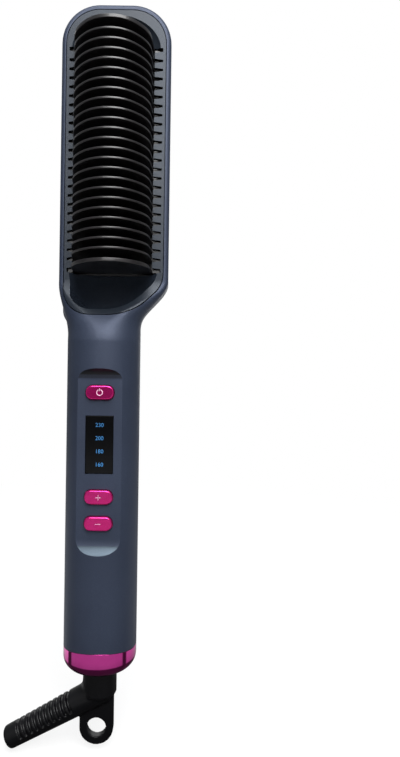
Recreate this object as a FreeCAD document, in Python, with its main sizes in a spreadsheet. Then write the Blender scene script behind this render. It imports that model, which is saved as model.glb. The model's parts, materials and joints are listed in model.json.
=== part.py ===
"""Hair straightener brush with a heated comb head, as an assembly of separate parts.

Frame: +Z runs along the handle to the tip of the head, -Y is the comb side, +X is the
right-hand side when the comb faces the viewer.  Everything is drawn in bench heights,
measured up from the underside of the end ring; each finished part's Placement then lowers
it by grip_height, so that the frame's origin is the middle of the hand grip on the
handle's axis.  Lengths are millimetres.
"""
import FreeCAD, Part

import math
import os
import re

import Sketcher

# ---------------------------------------------------------------------------------------
# Driving dimensions
# ---------------------------------------------------------------------------------------
SIZES = {
    # housing
    "body_length": 290.8,          # underside of the end ring to the tip of the head
    "grip_height": 80.0,           # middle of the hand grip above the ring's underside
    "handle_width": 32.0,          # the handle is as deep as it is wide
    "handle_corner": 15.5,         # corner radius of the almost round handle
    "wall": 2.2,                   # housing wall
    "parting_depth": 2.0,          # parting plane of the two shells, behind the axis
    "neck_start": 141.0,
    "neck_end": 169.5,
    "head_width": 48.4,
    "head_shift": 3.8,             # the head sits this far to +X of the handle's axis
    "comb_shift": 3.2,             # and the comb this far
    "head_front": 3.0,             # rim face of the head, in front of the axis
    "head_back": 12.5,             # back face of the head, behind the axis
    "head_tip_corner": 17.0,
    "head_front_edge": 2.0,
    "head_back_edge": 4.0,
    "head_front_wall": 1.6,
    "head_core_back": 7.9,         # inner face of the head's back wall
    "core_edge": 1.0,
    "core_back_start": 120.0,      # the cavity leaves the back wall here ...
    "core_back_end": 138.0,        # ... and is clear of the back plate's pocket here
    # comb and its bezel
    "bezel_width": 44.2,
    "bezel_top": 288.2,
    "bezel_bottom": 152.8,
    "bezel_tip_corner": 14.9,
    "bezel_low_corner": 13.0,
    "bezel_slant_run": 14.2,
    "bezel_slant_rise": 14.1,
    "bezel_slant_corner": 24.0,    # where the slant meets the low edge
    "bezel_side_corner": 14.0,     # where it meets the side
    "bezel_gap": 0.35,             # groove between bezel and housing
    "fin_width": 35.0,
    "fin_height": 22.0,            # from the rim face to the crest
    "fin_shoulder": 9.5,           # height of the fin's shoulder below its crest
    "fin_crest": 13.0,             # flat part of the crest before rounding
    "fin_flat": 0.33,              # half of the crest stays flat after rounding
    "fin_lean": 1.4,               # each flank leans in by this much up to the shoulder
    "fin_thickness": 0.9,
    "end_fin_thickness": 1.5,
    "fin_pitch": 3.98,
    "fin_first": 178.15,           # lowest fin of the even row
    "fin_end_pitch": 4.8,          # step from the even row to each end fin
    "slot_width": 41.2,
    "slot_root": 1.9,              # slot height at the fin's flank
    "slot_tip": 1.0,               # slot height at its outer end
    "comb_floor": 2.0,             # front of the comb's base plate, behind the axis
    "comb_base": 2.0,              # thickness of the base plate
    "comb_rail": 1.8,
    "comb_margin": 1.5,            # base plate beyond the end fins
    "seat_gap": 0.1,               # between pieces that are screwed or snapped together
    "scoop_width": 44.0,           # bowls at the two ends of the comb
    "scoop_depth": 11.0,
    "scoop_front": 8.0,            # centre of each bowl, in front of the axis
    "scoop_low": 24.0,             # length of the lower bowl
    "scoop_high": 17.0,            # length of the upper bowl
    "scoop_wall": 1.4,
    "scoop_margin": 2.7,           # face of the bezel left round the bowls
    # heater
    "heater_width": 12.0,
    "heater_length": 28.0,
    "heater_step": 31.0,
    "heater_first": 178.0,
    "heater_thickness": 2.2,
    "sheet_thickness": 0.3,
    "sheet_margin": 0.8,
    "clamp_width": 34.0,
    "clamp_thickness": 0.6,
    "screw_radius": 1.0,
    "screw_head_radius": 1.9,
    "screw_head": 0.7,
    "clamp_screw_reach": 14.0,
    "bead_radius": 1.05,
    "bead_height": 222.0,
    "bead_reach": 7.3,
    "fuse_radius": 1.5,
    "fuse_length": 12.0,
    "fuse_low": 183.0,
    "fuse_reach": 10.0,
    "lead_radius": 0.8,
    "lead_reach": 3.0,
    "thin_lead_radius": 0.4,
    # back cover
    "frame_width": 44.2,
    "frame_top": 287.0,
    "frame_tip_corner": 14.8,
    "frame_low": 146.4,            # left end of the slanted lower edge, before rounding
    "frame_slope": 0.427,          # rise of the lower edge for each millimetre to +X
    "frame_low_corner": 7.5,
    "frame_right_corner": 6.0,
    "frame_band": 4.9,
    "frame_edge": 0.6,
    "frame_slope_depth": 1.9,      # the band slopes down to the plate by this much ...
    "frame_slope_width": 3.5,      # ... over this width
    "pad_margin": 1.4,             # housing rim around the frame
    "pad_front": 5.0,              # the rim's block starts this far behind the axis
    "cover_floor": 9.3,            # floor of the pocket for the back plate
    "plate_thickness": 1.4,
    "frame_proud": 0.3,
    # control panel
    "panel_depth": 13.2,
    "panel_low": 58.4,
    "panel_high": 125.0,
    "panel_low_run": 6.4,          # length of the hollow that ends the panel below
    "panel_high_run": 5.0,         # and above
    "panel_wall": 1.8,
    "button_width": 11.9,
    "button_height": 6.0,
    "button_corner": 2.8,
    "button_proud": 1.5,
    "button_edge": 0.8,
    "button_gap": 0.25,            # clearance around each button in its hole
    "button_flange": 0.8,          # flange beyond the button on every side
    "flange_thickness": 1.0,
    "flange_gap": 0.3,             # flange to the panel's inner face
    "power_height": 119.9,
    "plus_height": 76.0,
    "minus_height": 64.9,
    "symbol_depth": 0.4,
    "symbol_length": 3.0,
    "symbol_stroke": 0.7,
    "window_width": 11.9,
    "window_low": 85.6,
    "window_high": 110.2,
    "window_inset": 0.2,
    "window_flange": 1.0,
    "window_foot": 0.8,
    # electronics
    "control_board_face": 5.4,     # front of the control board, in front of the axis
    "board_thickness": 1.6,
    "board_width": 20.0,
    "board_low": 54.0,
    "board_high": 131.0,
    "board_screw_reach": 6.5,
    "board_screw_inset": 4.0,
    "boss_radius": 2.0,
    "pilot_depth": 4.0,            # screw thread in each boss
    "switch_size": 6.0,
    "switch_body": 3.3,
    "plunger_radius": 1.7,
    "plunger_height": 0.7,
    "light_wall": 1.2,
    "led_size": 3.0,
    "led_height": 1.4,
    "led_first": 89.6,
    "led_step": 5.6,
    "chip_size": 7.0,
    "chip_thickness": 1.0,
    "power_board_face": 2.5,       # front of the power board, behind the axis
    "power_board_width": 24.0,
    "power_board_low": 27.0,
    "power_board_high": 118.0,
    "power_screw_reach": 8.5,
    "power_screw_drop": 9.0,       # upper screws below the board's upper edge
    "heater_terminal_length": 5.0,
    "header_length": 5.0,
    "header_high": 112.0,
    "component_corner": 0.8,
    "capacitor_width": 13.0,
    "capacitor_height": 6.0,
    "capacitor_low": 84.0,
    "capacitor_length": 16.0,
    "triac_width": 10.0,
    "triac_height": 4.5,
    "triac_low": 62.0,
    "triac_length": 15.0,
    "terminal_width": 12.0,
    "terminal_height": 6.0,
    "terminal_length": 9.0,
    "heater_terminal_height": 2.8,
    "tube_radius": 2.3,
    "tube_reach": 4.0,
    "tube_low": 42.0,
    "tube_length": 14.0,
    # end ring and swivel
    "arch_height": 11.2,           # top of the ring at the front and the back
    "arch_drop": 2.2,              # the ring's edge is this much lower at the sides
    "ring_bottom_edge": 5.0,
    "ring_floor": 3.0,
    "sleeve_gap": 0.1,
    "sleeve_top": 22.0,
    "sleeve_bore": 12.1,
    "neck_radius": 7.5,
    "neck_clearance": 0.05,
    "hub_flange_radius": 10.0,
    "hub_flange": 3.0,
    "hub_radius": 5.5,
    "hub_bore": 2.5,
    "hub_root": 9.0,               # the hub reaches this far below the ring
    "axial_play": 0.1,
    "retainer": 3.0,
    "retainer_clearance": 0.5,
    "slip_ring_wall": 0.8,
    "slip_ring_top": 12.0,
    "pin_radius": 1.5,
    "pin_top": 15.0,
    "contact_gap": 0.05,
    "contact_thickness": 0.4,
    "contact_width": 4.0,
    "contact_low": 10.0,
    "contact_block_low": 15.6,
    "contact_block": 3.0,
    "supply_reach": 3.5,
    "supply_depth": 7.5,
    # cord tail
    "boot_root": 6.0,              # the boot tapers from this radius ...
    "boot_tip": 4.8,               # ... to this one
    "boot_length": 46.0,
    "boot_slope": 28.5,            # degrees below the horizontal
    "boot_axis_drop": 12.6,        # where the boot's axis leaves the neck's axis
    "boot_end_edge": 1.4,
    "rib_slot_first": 13.0,
    "rib_slot_pitch": 2.75,
    "rib_slot_width": 1.3,
    "rib_core": 4.1,               # radius left inside the slots
    "rib_wrap": 1.2,               # the slots reach this far below the boot's axis
    "cord_bore": 3.0,
    "cord_bore_depth": 28.0,
    "loop_width": 15.0,
    "loop_thickness": 3.6,
    "loop_shift": 1.1,             # the loop sits this far to -X of the neck's axis
    "loop_hole": 4.2,
    "loop_drop": 28.4,             # centre of the loop's hole below the ring
    "loop_root": 13.0,
}

FIN_COUNT = 23                     # fins of the even row, between the two end fins
HEATER_COUNT = 3
LED_COUNT = 4
RIB_SLOT_COUNT = 10

# Heights along the neck at which its cross-section is drawn, as shares of its length
NECK_STEPS = (0.0, 0.08, 0.16, 0.27, 0.4, 0.52, 0.64, 0.76, 0.86, 0.93, 1.0)
# The neck's left side and its corners reach the head before its right side does
EARLY = (0.1, 0.95)
LATE = (0.28, 0.99)
WHOLE = (0.0, 1.0)

# ---------------------------------------------------------------------------------------
# Document, spreadsheet and expressions
# ---------------------------------------------------------------------------------------
doc = FreeCAD.newDocument("HairBrush")
sheet = doc.addObject("Spreadsheet::Sheet", "dim")
for row, (alias, number) in enumerate(SIZES.items(), start=1):
    sheet.set(f"A{row}", alias)
    sheet.set(f"B{row}", str(number))
    sheet.setAlias(f"B{row}", alias)
doc.recompute()

finished = []                      # the sub-parts that are written out


def tied(expression):
    """The expression with each dimension's name pointed at the spreadsheet."""
    def point(match):
        word = match.group()
        return f"dim.{word}" if word in SIZES else word
    return re.sub(r"[a-z][a-z_]*", point, str(expression))


def value(expression):
    """The number an expression has now."""
    return float(sheet.evalExpression(tied(expression)))


def bind(item, path, expression):
    item.setExpression(path, tied(expression))


def finish(item, label, grounded=False):
    """Names a finished sub-part and lowers it from bench height to the part's frame.

    A grounded item is a primitive that already has a Placement of its own.
    """
    if grounded:
        item.Label = f"{label}_form"
        item = group(f"{label}_piece", [item])
    item.Label = label
    bind(item, ".Placement.Base.z", "-grip_height")
    finished.append(item)
    return item


# Places that several parts share
HEAD_LEFT = "(head_shift - head_width / 2)"
HEAD_RIGHT = "(head_shift + head_width / 2)"
FIN_LAST = f"(fin_first + {FIN_COUNT - 1} * fin_pitch)"
FIN_BOTTOM = "(fin_first - fin_end_pitch)"
FIN_TOP = f"({FIN_LAST} + fin_end_pitch)"
COMB_LOW = f"({FIN_BOTTOM} - comb_margin)"
COMB_HIGH = f"({FIN_TOP} + comb_margin)"
COMB_BACK = "(comb_floor + comb_base)"
HEATER_BACK = f"({COMB_BACK} + heater_thickness)"
CLAMP_FRONT = f"({HEATER_BACK} + sheet_thickness)"
CLAMP_BACK = f"({CLAMP_FRONT} + clamp_thickness)"
PANEL_INNER = "(panel_wall - panel_depth)"
FLANGE_FRONT = f"({PANEL_INNER} + flange_gap)"
SWITCH_FRONT = "(-control_board_face - switch_body)"
CONTROL_BACK = "(board_thickness - control_board_face)"
POWER_BACK = "(power_board_face + board_thickness)"
HEATER_HIGH = f"(heater_first + {HEATER_COUNT - 1} * heater_step + heater_length)"


# ---------------------------------------------------------------------------------------
# Sketches
# ---------------------------------------------------------------------------------------
PLANES = {"X": "YZ_Plane", "Y": "XZ_Plane", "Z": "XY_Plane"}


def sketch_on(body, name, axis, level):
    """An empty sketch across the given axis, at the given place along it."""
    role = PLANES[axis]
    plane = next(item for item in body.Origin.OriginFeatures if item.Role == role)
    sketch = body.newObject("Sketcher::SketchObject", name)
    sketch.AttachmentSupport = [(plane, "")]
    sketch.MapMode = "FlatFace"
    # the XZ plane's normal is -Y, so its offset runs the other way
    bind(sketch, ".AttachmentOffset.Base.z", f"-({level})" if axis == "Y" else level)
    return sketch


def corner_arc(before, corner, after, radius):
    """Start, middle, end and centre of the arc that rounds one corner of an outline."""
    to_before = (before - corner).normalize()
    to_after = (after - corner).normalize()
    half = to_before.getAngle(to_after) / 2
    reach = radius / math.tan(half)
    centre = corner + (to_before + to_after).normalize() * (radius / math.sin(half))
    middle = centre + (corner - centre).normalize() * radius
    return corner + to_before * reach, middle, corner + to_after * reach


def draw_outline(sketch, points, radii):
    """A closed, fully constrained outline: straight edges with rounded or sharp corners.

    points are pairs of expressions, radii one expression for each corner; a corner whose
    radius is 0 stays sharp.
    """
    count = len(points)
    corners = [FreeCAD.Vector(value(across), value(up), 0) for across, up in points]
    starts, ends, middles = [], [], []
    for i in range(count):
        if radii[i] == 0:
            starts.append(corners[i])
            ends.append(corners[i])
            middles.append(None)
            continue
        start, middle, end = corner_arc(corners[i - 1], corners[i], corners[(i + 1) % count],
                                        value(radii[i]))
        starts.append(start)
        ends.append(end)
        middles.append(middle)

    marks = [sketch.addGeometry(Part.Point(corner), True) for corner in corners]
    edges = [sketch.addGeometry(Part.LineSegment(ends[i], starts[(i + 1) % count]), False)
             for i in range(count)]
    for i, (across, up) in enumerate(points):
        for kind, name, number, expression in (
                ("DistanceX", f"across{i}", corners[i].x, across),
                ("DistanceY", f"up{i}", corners[i].y, up)):
            row = sketch.addConstraint(
                Sketcher.Constraint(kind, -1, 1, marks[i], 1, number))
            sketch.renameConstraint(row, name)
            bind(sketch, f"Constraints.{name}", expression)
        before, after = edges[i - 1], edges[i]
        if middles[i] is None:
            sketch.addConstraint(Sketcher.Constraint("Coincident", before, 2, marks[i], 1))
            sketch.addConstraint(Sketcher.Constraint("Coincident", after, 1, marks[i], 1))
            continue
        arc = sketch.addGeometry(Part.Arc(starts[i], middles[i], ends[i]), False)
        forward = sketch.Geometry[arc].StartPoint.distanceToPoint(starts[i]) < 1e-6
        first, last = (1, 2) if forward else (2, 1)
        sketch.addConstraint(Sketcher.Constraint("Tangent", before, 2, arc, first))
        sketch.addConstraint(Sketcher.Constraint("Tangent", after, 1, arc, last))
        sketch.addConstraint(Sketcher.Constraint("PointOnObject", marks[i], 1, before))
        sketch.addConstraint(Sketcher.Constraint("PointOnObject", marks[i], 1, after))
        row = sketch.addConstraint(Sketcher.Constraint("Radius", arc, value(radii[i])))
        sketch.renameConstraint(row, f"round{i}")
        bind(sketch, f"Constraints.round{i}", radii[i])
    return sketch


def rectangle(left, right, low, high, radius=0):
    """Corners and radii of an upright rectangle."""
    return [(left, low), (right, low), (right, high), (left, high)], [radius] * 4


def draw_circle(sketch, across, up, radius):
    circle = sketch.addGeometry(
        Part.Circle(FreeCAD.Vector(value(across), value(up), 0), FreeCAD.Vector(0, 0, 1),
                    value(radius)), False)
    tag = f"circle{circle}"
    for kind, name, number, expression, reference in (
            ("DistanceX", f"{tag}x", value(across), across, True),
            ("DistanceY", f"{tag}y", value(up), up, True),
            ("Radius", f"{tag}r", value(radius), radius, False)):
        ends = (-1, 1, circle, 3) if reference else (circle,)
        row = sketch.addConstraint(Sketcher.Constraint(kind, *ends, number))
        sketch.renameConstraint(row, name)
        bind(sketch, f"Constraints.{name}", expression)
    return sketch


# ---------------------------------------------------------------------------------------
# Features
# ---------------------------------------------------------------------------------------
def new_body(name):
    return doc.addObject("PartDesign::Body", name)


def padded(body, name, axis, low, high, outline):
    """A Pad of an outline along an axis, from low to high."""
    points, radii = outline
    start = high if axis == "Y" else low
    sketch = draw_outline(sketch_on(body, f"{name}_sketch", axis, start), points, radii)
    pad = body.newObject("PartDesign::Pad", name)
    pad.Profile = sketch
    bind(pad, "Length", f"({high}) - ({low})")
    sketch.Visibility = False
    return pad


def pocketed(body, name, axis, low, high, outline):
    """A Pocket of an outline along an axis, from low to high; it must remove something."""
    points, radii = outline
    start = low if axis == "Y" else high
    doc.recompute()
    before = body.Shape.Volume
    sketch = draw_outline(sketch_on(body, f"{name}_sketch", axis, start), points, radii)
    pocket = body.newObject("PartDesign::Pocket", name)
    pocket.Profile = sketch
    bind(pocket, "Length", f"({high}) - ({low})")
    doc.recompute()
    if not body.Shape.Volume < before:
        raise RuntimeError(f"{name} cuts nothing")
    return pocket


def rounded(body, name, radius, wanted):
    """A Fillet of the edges of the body's tip for which wanted(edge) is true."""
    doc.recompute()
    base = body.Tip
    edges = [f"Edge{i}" for i, edge in enumerate(base.Shape.Edges, start=1) if wanted(edge)]
    if not edges:
        raise RuntimeError(f"{name} finds no edge")
    fillet = body.newObject("PartDesign::Fillet", name)
    fillet.Base = (base, edges)
    bind(fillet, "Radius", radius)
    return fillet


def lies_at(edge, axis, place):
    """Whether a whole edge lies in the plane across an axis at a place."""
    box = edge.BoundBox
    low, high = {"X": (box.XMin, box.XMax), "Y": (box.YMin, box.YMax),
                 "Z": (box.ZMin, box.ZMax)}[axis]
    level = value(place)
    return abs(low - level) < 1e-3 and abs(high - level) < 1e-3


def block(name, x_range, y_range, z_range):
    """A Part box between pairs of expressions."""
    box = doc.addObject("Part::Box", name)
    for side, direction, (low, high) in (("Length", "x", x_range), ("Width", "y", y_range),
                                         ("Height", "z", z_range)):
        bind(box, side, f"({high}) - ({low})")
        bind(box, f".Placement.Base.{direction}", low)
    return box


TURNS = {"X": FreeCAD.Rotation(FreeCAD.Vector(0, 1, 0), 90),
         "Y": FreeCAD.Rotation(FreeCAD.Vector(1, 0, 0), -90),
         "Z": FreeCAD.Rotation()}


def rod(name, axis, across, low, high, radius):
    """A Part cylinder along an axis; across gives its place on the other two axes."""
    cylinder = doc.addObject("Part::Cylinder", name)
    cylinder.Placement = FreeCAD.Placement(FreeCAD.Vector(), TURNS[axis])
    bind(cylinder, "Radius", radius)
    bind(cylinder, "Height", f"({high}) - ({low})")
    others = [letter for letter in "XYZ" if letter != axis]
    bind(cylinder, f".Placement.Base.{axis.lower()}", low)
    for letter, place in zip(others, across):
        bind(cylinder, f".Placement.Base.{letter.lower()}", place)
    return cylinder


def cut(name, base, tools):
    """base minus all the tools."""
    tool = tools[0] if len(tools) == 1 else fuse(f"{name}_tools", tools)
    result = doc.addObject("Part::Cut", name)
    result.Base = base
    result.Tool = tool
    return result


def fuse(name, items):
    result = doc.addObject("Part::MultiFuse", name)
    result.Shapes = items
    return result


def common(name, items):
    result = doc.addObject("Part::MultiCommon", name)
    result.Shapes = items
    return result


def group(name, items):
    """Several separate solids that share one node."""
    result = doc.addObject("Part::Compound", name)
    result.Links = items
    return result


# ---------------------------------------------------------------------------------------
# Outlines that several parts share
# ---------------------------------------------------------------------------------------
def bezel_outline(inset):
    """The comb bezel's outline, seen from the front, drawn in by inset."""
    left = f"(head_shift - bezel_width / 2 + ({inset}))"
    right = f"(head_shift + bezel_width / 2 - ({inset}))"
    low = f"(bezel_bottom + ({inset}))"
    high = f"(bezel_top - ({inset}))"
    points = [(left, low), (f"{right} - bezel_slant_run", low),
              (right, f"{low} + bezel_slant_rise"), (right, high), (left, high)]
    radii = [f"bezel_low_corner - ({inset})", f"bezel_slant_corner - ({inset})",
             f"bezel_side_corner - ({inset})",
             f"bezel_tip_corner - ({inset})", f"bezel_tip_corner - ({inset})"]
    return points, radii


def cover_outline(inset):
    """The back cover's outline with its slanted lower edge, drawn in by inset."""
    left = f"(head_shift - frame_width / 2 + ({inset}))"
    right = f"(head_shift + frame_width / 2 - ({inset}))"
    lift = f"({inset}) * sqrt(1 + frame_slope * frame_slope)"
    low_left = f"(frame_low + frame_slope * ({inset}) + {lift})"
    low_right = f"(frame_low + frame_slope * (frame_width - ({inset})) + {lift})"
    high = f"(frame_top - ({inset}))"
    points = [(left, low_left), (right, low_right), (right, high), (left, high)]
    radii = [f"frame_low_corner - ({inset}) * 0.5", f"frame_right_corner - ({inset}) * 0.5",
             f"frame_tip_corner - ({inset})", f"frame_tip_corner - ({inset})"]
    return points, radii


# ---------------------------------------------------------------------------------------
# Envelopes: the housing's outer form and its cavity
# ---------------------------------------------------------------------------------------
def eased(share, stretch=WHOLE):
    """0 to 1 with a level start and end, over one stretch of the way."""
    start, end = stretch
    local = min(1.0, max(0.0, (share - start) / (end - start)))
    return local * local * (3 - 2 * local)


def between(start, end, share):
    return f"(({start}) + (({end}) - ({start})) * {share:.5f})"


def neck_section(body, name, level, sides, depths, corners):
    """One cross-section: sides are (left, right), depths (front, back), all expressions."""
    left, right = sides
    front, back = depths
    front_corner, back_corner = corners
    points = [(left, front), (right, front), (right, back), (left, back)]
    radii = [front_corner, front_corner, back_corner, back_corner]
    return draw_outline(sketch_on(body, name, "Z", level), points, radii)


def lofted_neck(name, levels, section_at):
    """A loft through one cross-section for each level."""
    body = new_body(name)
    sketches = [section_at(body, f"{name}_section_{i}", level)
                for i, level in enumerate(levels)]
    loft = body.newObject("PartDesign::AdditiveLoft", f"{name}_loft")
    loft.Profile = sketches[0]
    loft.Sections = sketches[1:]
    return body


def handle_outline(inset):
    half = f"(handle_width / 2 - ({inset}))"
    return rectangle(f"-{half}", half, f"-{half}", half, f"handle_corner - ({inset})")


def make_outer_form():
    """The whole housing as one solid: handle, neck, head and the rim of the back cover."""
    handle = new_body("handle_form")
    padded(handle, "handle_form_pad", "Z", "0", "neck_start", handle_outline(0))

    def section_at(body, name, share):
        early, late, ease = eased(share, EARLY), eased(share, LATE), eased(share)
        half = "handle_width / 2"
        return neck_section(
            body, name, between("neck_start", "neck_end", share),
            (between(f"-{half}", HEAD_LEFT, early), between(half, HEAD_RIGHT, late)),
            (between(f"-{half}", "-head_front", ease), between(half, "head_back", ease)),
            (between("handle_corner", "head_front_edge", early),
             between("handle_corner", "head_back_edge", early)))

    neck = lofted_neck("neck_form", NECK_STEPS, section_at)

    head = new_body("head_form")
    padded(head, "head_form_pad", "Y", "-head_front", "head_back",
           ([(HEAD_LEFT, "neck_end"), (HEAD_RIGHT, "neck_end"),
             (HEAD_RIGHT, "body_length"), (HEAD_LEFT, "body_length")],
            [0, 0, "head_tip_corner", "head_tip_corner"]))
    rim = value("neck_end") + 1e-3
    rounded(head, "head_front_rounding", "head_front_edge",
            lambda edge: lies_at(edge, "Y", "-head_front") and edge.BoundBox.ZMax > rim)
    rounded(head, "head_back_rounding", "head_back_edge",
            lambda edge: lies_at(edge, "Y", "head_back") and edge.BoundBox.ZMax > rim)

    rim_pad = new_body("cover_rim_form")
    padded(rim_pad, "cover_rim_pad", "Y", "pad_front", "head_back",
           cover_outline("-pad_margin"))
    rounded(rim_pad, "cover_rim_rounding", "head_front_edge",
            lambda edge: lies_at(edge, "Y", "head_back"))
    return fuse("outer_form", [handle, neck, head, rim_pad])


def make_cavity():
    """The space inside the housing, as one solid."""
    handle = new_body("handle_cavity")
    padded(handle, "handle_cavity_pad", "Z", "-wall", "core_back_start",
           handle_outline("wall"))
    half = "(handle_width / 2 - wall)"
    corner = "handle_corner - wall"

    def low_section(body, name, share):
        ease = eased(share)
        return neck_section(
            body, name, between("core_back_start", "core_back_end", share),
            (f"-{half}", half),
            (f"-{half}", between(half, "head_core_back", ease)),
            (corner, between(corner, "core_edge", ease)))

    low_neck = lofted_neck("low_neck_cavity", NECK_STEPS, low_section)

    link = new_body("middle_cavity")
    padded(link, "middle_cavity_pad", "Z", "core_back_end", "neck_start",
           ([(f"-{half}", f"-{half}"), (half, f"-{half}"), (half, "head_core_back"),
             (f"-{half}", "head_core_back")], [corner, corner, "core_edge", "core_edge"]))

    def section_at(body, name, share):
        early, late, ease = eased(share, EARLY), eased(share, LATE), eased(share)
        return neck_section(
            body, name, between("neck_start", "neck_end", share),
            (between(f"-{half}", f"{HEAD_LEFT} + wall", early),
             between(half, f"{HEAD_RIGHT} - wall", late)),
            (between(f"-{half}", "head_front_wall - head_front", ease), "head_core_back"),
            (between(corner, "core_edge", early), "core_edge"))

    neck = lofted_neck("neck_cavity", NECK_STEPS, section_at)

    head = new_body("head_cavity")
    tip = "head_tip_corner - wall"
    padded(head, "head_cavity_pad", "Y", "head_front_wall - head_front", "head_core_back",
           ([(f"{HEAD_LEFT} + wall", "neck_end"), (f"{HEAD_RIGHT} - wall", "neck_end"),
             (f"{HEAD_RIGHT} - wall", "body_length - wall"),
             (f"{HEAD_LEFT} + wall", "body_length - wall")], [0, 0, tip, tip]))
    whole = fuse("whole_cavity", [handle, low_neck, link, neck, head])
    backing = block("panel_backing", ("-handle_width", "handle_width"),
                    ("-handle_width", PANEL_INNER),
                    ("panel_low - panel_low_run", "panel_high + panel_high_run"))
    return cut("cavity", whole, [backing])


def screw_places():
    """The control board's and the power board's screws: (x, z) pairs of expressions."""
    control = [(side, height)
               for height in ("board_low + board_screw_inset", "board_high - board_screw_inset")
               for side in ("-board_screw_reach", "board_screw_reach")]
    power = [(side, height)
             for height in ("power_board_low + board_screw_inset",
                            "power_board_high - power_screw_drop")
             for side in ("-power_screw_reach", "power_screw_reach")]
    return control, power


def arch(name, gap):
    """The cylinder whose upper side is the arched joint between ring and housing."""
    radius = "((handle_width * handle_width / 4 + arch_drop * arch_drop) / (2 * arch_drop))"
    return rod(name, "Y", ("0", f"arch_height - {radius}"), "-handle_width", "handle_width",
               f"{radius} - ({gap})")


def panel_sweep(run):
    """Radius of the hollow that leads from the panel out to the handle's surface."""
    rise = "(handle_width / 2 - panel_depth)"
    return f"(({run} * {run} + {rise} * {rise}) / (2 * {rise}))"


BUTTONS = {"power": "power_height", "plus": "plus_height", "minus": "minus_height"}


def button_outline(height, margin):
    half_width = f"(button_width / 2 + ({margin}))"
    half_height = f"(button_height / 2 + ({margin}))"
    return rectangle(f"-{half_width}", half_width, f"{height} - {half_height}",
                     f"{height} + {half_height}", f"button_corner + ({margin})")


def window_outline(margin):
    half = f"(window_width / 2 + ({margin}))"
    return rectangle(f"-{half}", half, f"window_low - ({margin})",
                     f"window_high + ({margin})")


def button_holes():
    """The three button holes as one tool."""
    holes = []
    for name, height in BUTTONS.items():
        hole = new_body(f"{name}_hole")
        padded(hole, f"{name}_hole_pad", "Y", "-handle_width", f"{PANEL_INNER} + panel_wall",
               button_outline(height, "button_gap"))
        holes.append(hole)
    return fuse("button_holes", holes)


def make_shells(outer, cavity):
    """Front and back shell, split at the parting plane."""
    control_screws, power_screws = screw_places()
    reach = "body_length + handle_width"
    behind = block("behind_parting", ("-body_length", "body_length"),
                   ("parting_depth", "body_length"), ("-handle_width", reach))
    ahead = block("ahead_of_parting", ("-body_length", "body_length"),
                  ("-body_length", "parting_depth"), ("-handle_width", reach))

    # front shell
    hollow = cut("housing_wall", outer, [cavity])
    bosses = [rod(f"control_boss_{i}", "Y", place, "-panel_depth + panel_wall / 2",
                  "-control_board_face", "boss_radius")
              for i, place in enumerate(control_screws)]
    pilots = [rod(f"control_pilot_{i}", "Y", place, "-control_board_face - pilot_depth",
                  "0", "screw_radius") for i, place in enumerate(control_screws)]
    opening = new_body("bezel_opening")
    padded(opening, "bezel_opening_pad", "Y", "-handle_width", "parting_depth + wall",
           bezel_outline(0))
    recess = new_body("panel_recess")
    low_sweep, high_sweep = panel_sweep("panel_low_run"), panel_sweep("panel_high_run")
    low_end, high_end = f"panel_low - {low_sweep}", f"panel_high + {high_sweep}"
    padded(recess, "panel_recess_pad", "X", "-handle_width", "handle_width",
           ([("-panel_depth", low_end), ("-panel_depth", high_end),
             ("-handle_width", high_end), ("-handle_width", low_end)],
            [low_sweep, high_sweep, 0, 0]))
    window = new_body("window_hole")
    padded(window, "window_hole_pad", "Y", "-handle_width", f"{PANEL_INNER} + panel_wall",
           window_outline(0))
    front = common("front_with_bosses", [outer, fuse("front_wall", [hollow] + bosses)])
    finish(cut("front_shell", front,
               [behind, arch("front_arch", 0), opening, recess, button_holes(), window]
               + pilots), "front_shell")

    # back shell
    back_bosses = [rod(f"power_boss_{i}", "Y", place, POWER_BACK, "handle_width / 2 - wall",
                       "boss_radius") for i, place in enumerate(power_screws)]
    back_pilots = [rod(f"power_pilot_{i}", "Y", place, "0", f"{POWER_BACK} + pilot_depth",
                       "screw_radius") for i, place in enumerate(power_screws)]
    pocket = new_body("cover_pocket")
    padded(pocket, "cover_pocket_pad", "Y", "cover_floor", "handle_width",
           cover_outline("-seat_gap"))
    back = common("back_with_bosses", [outer, fuse("back_wall", [hollow] + back_bosses)])
    finish(cut("back_shell", back, [ahead, arch("back_arch", 0), pocket] + back_pilots),
           "back_shell")


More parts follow.
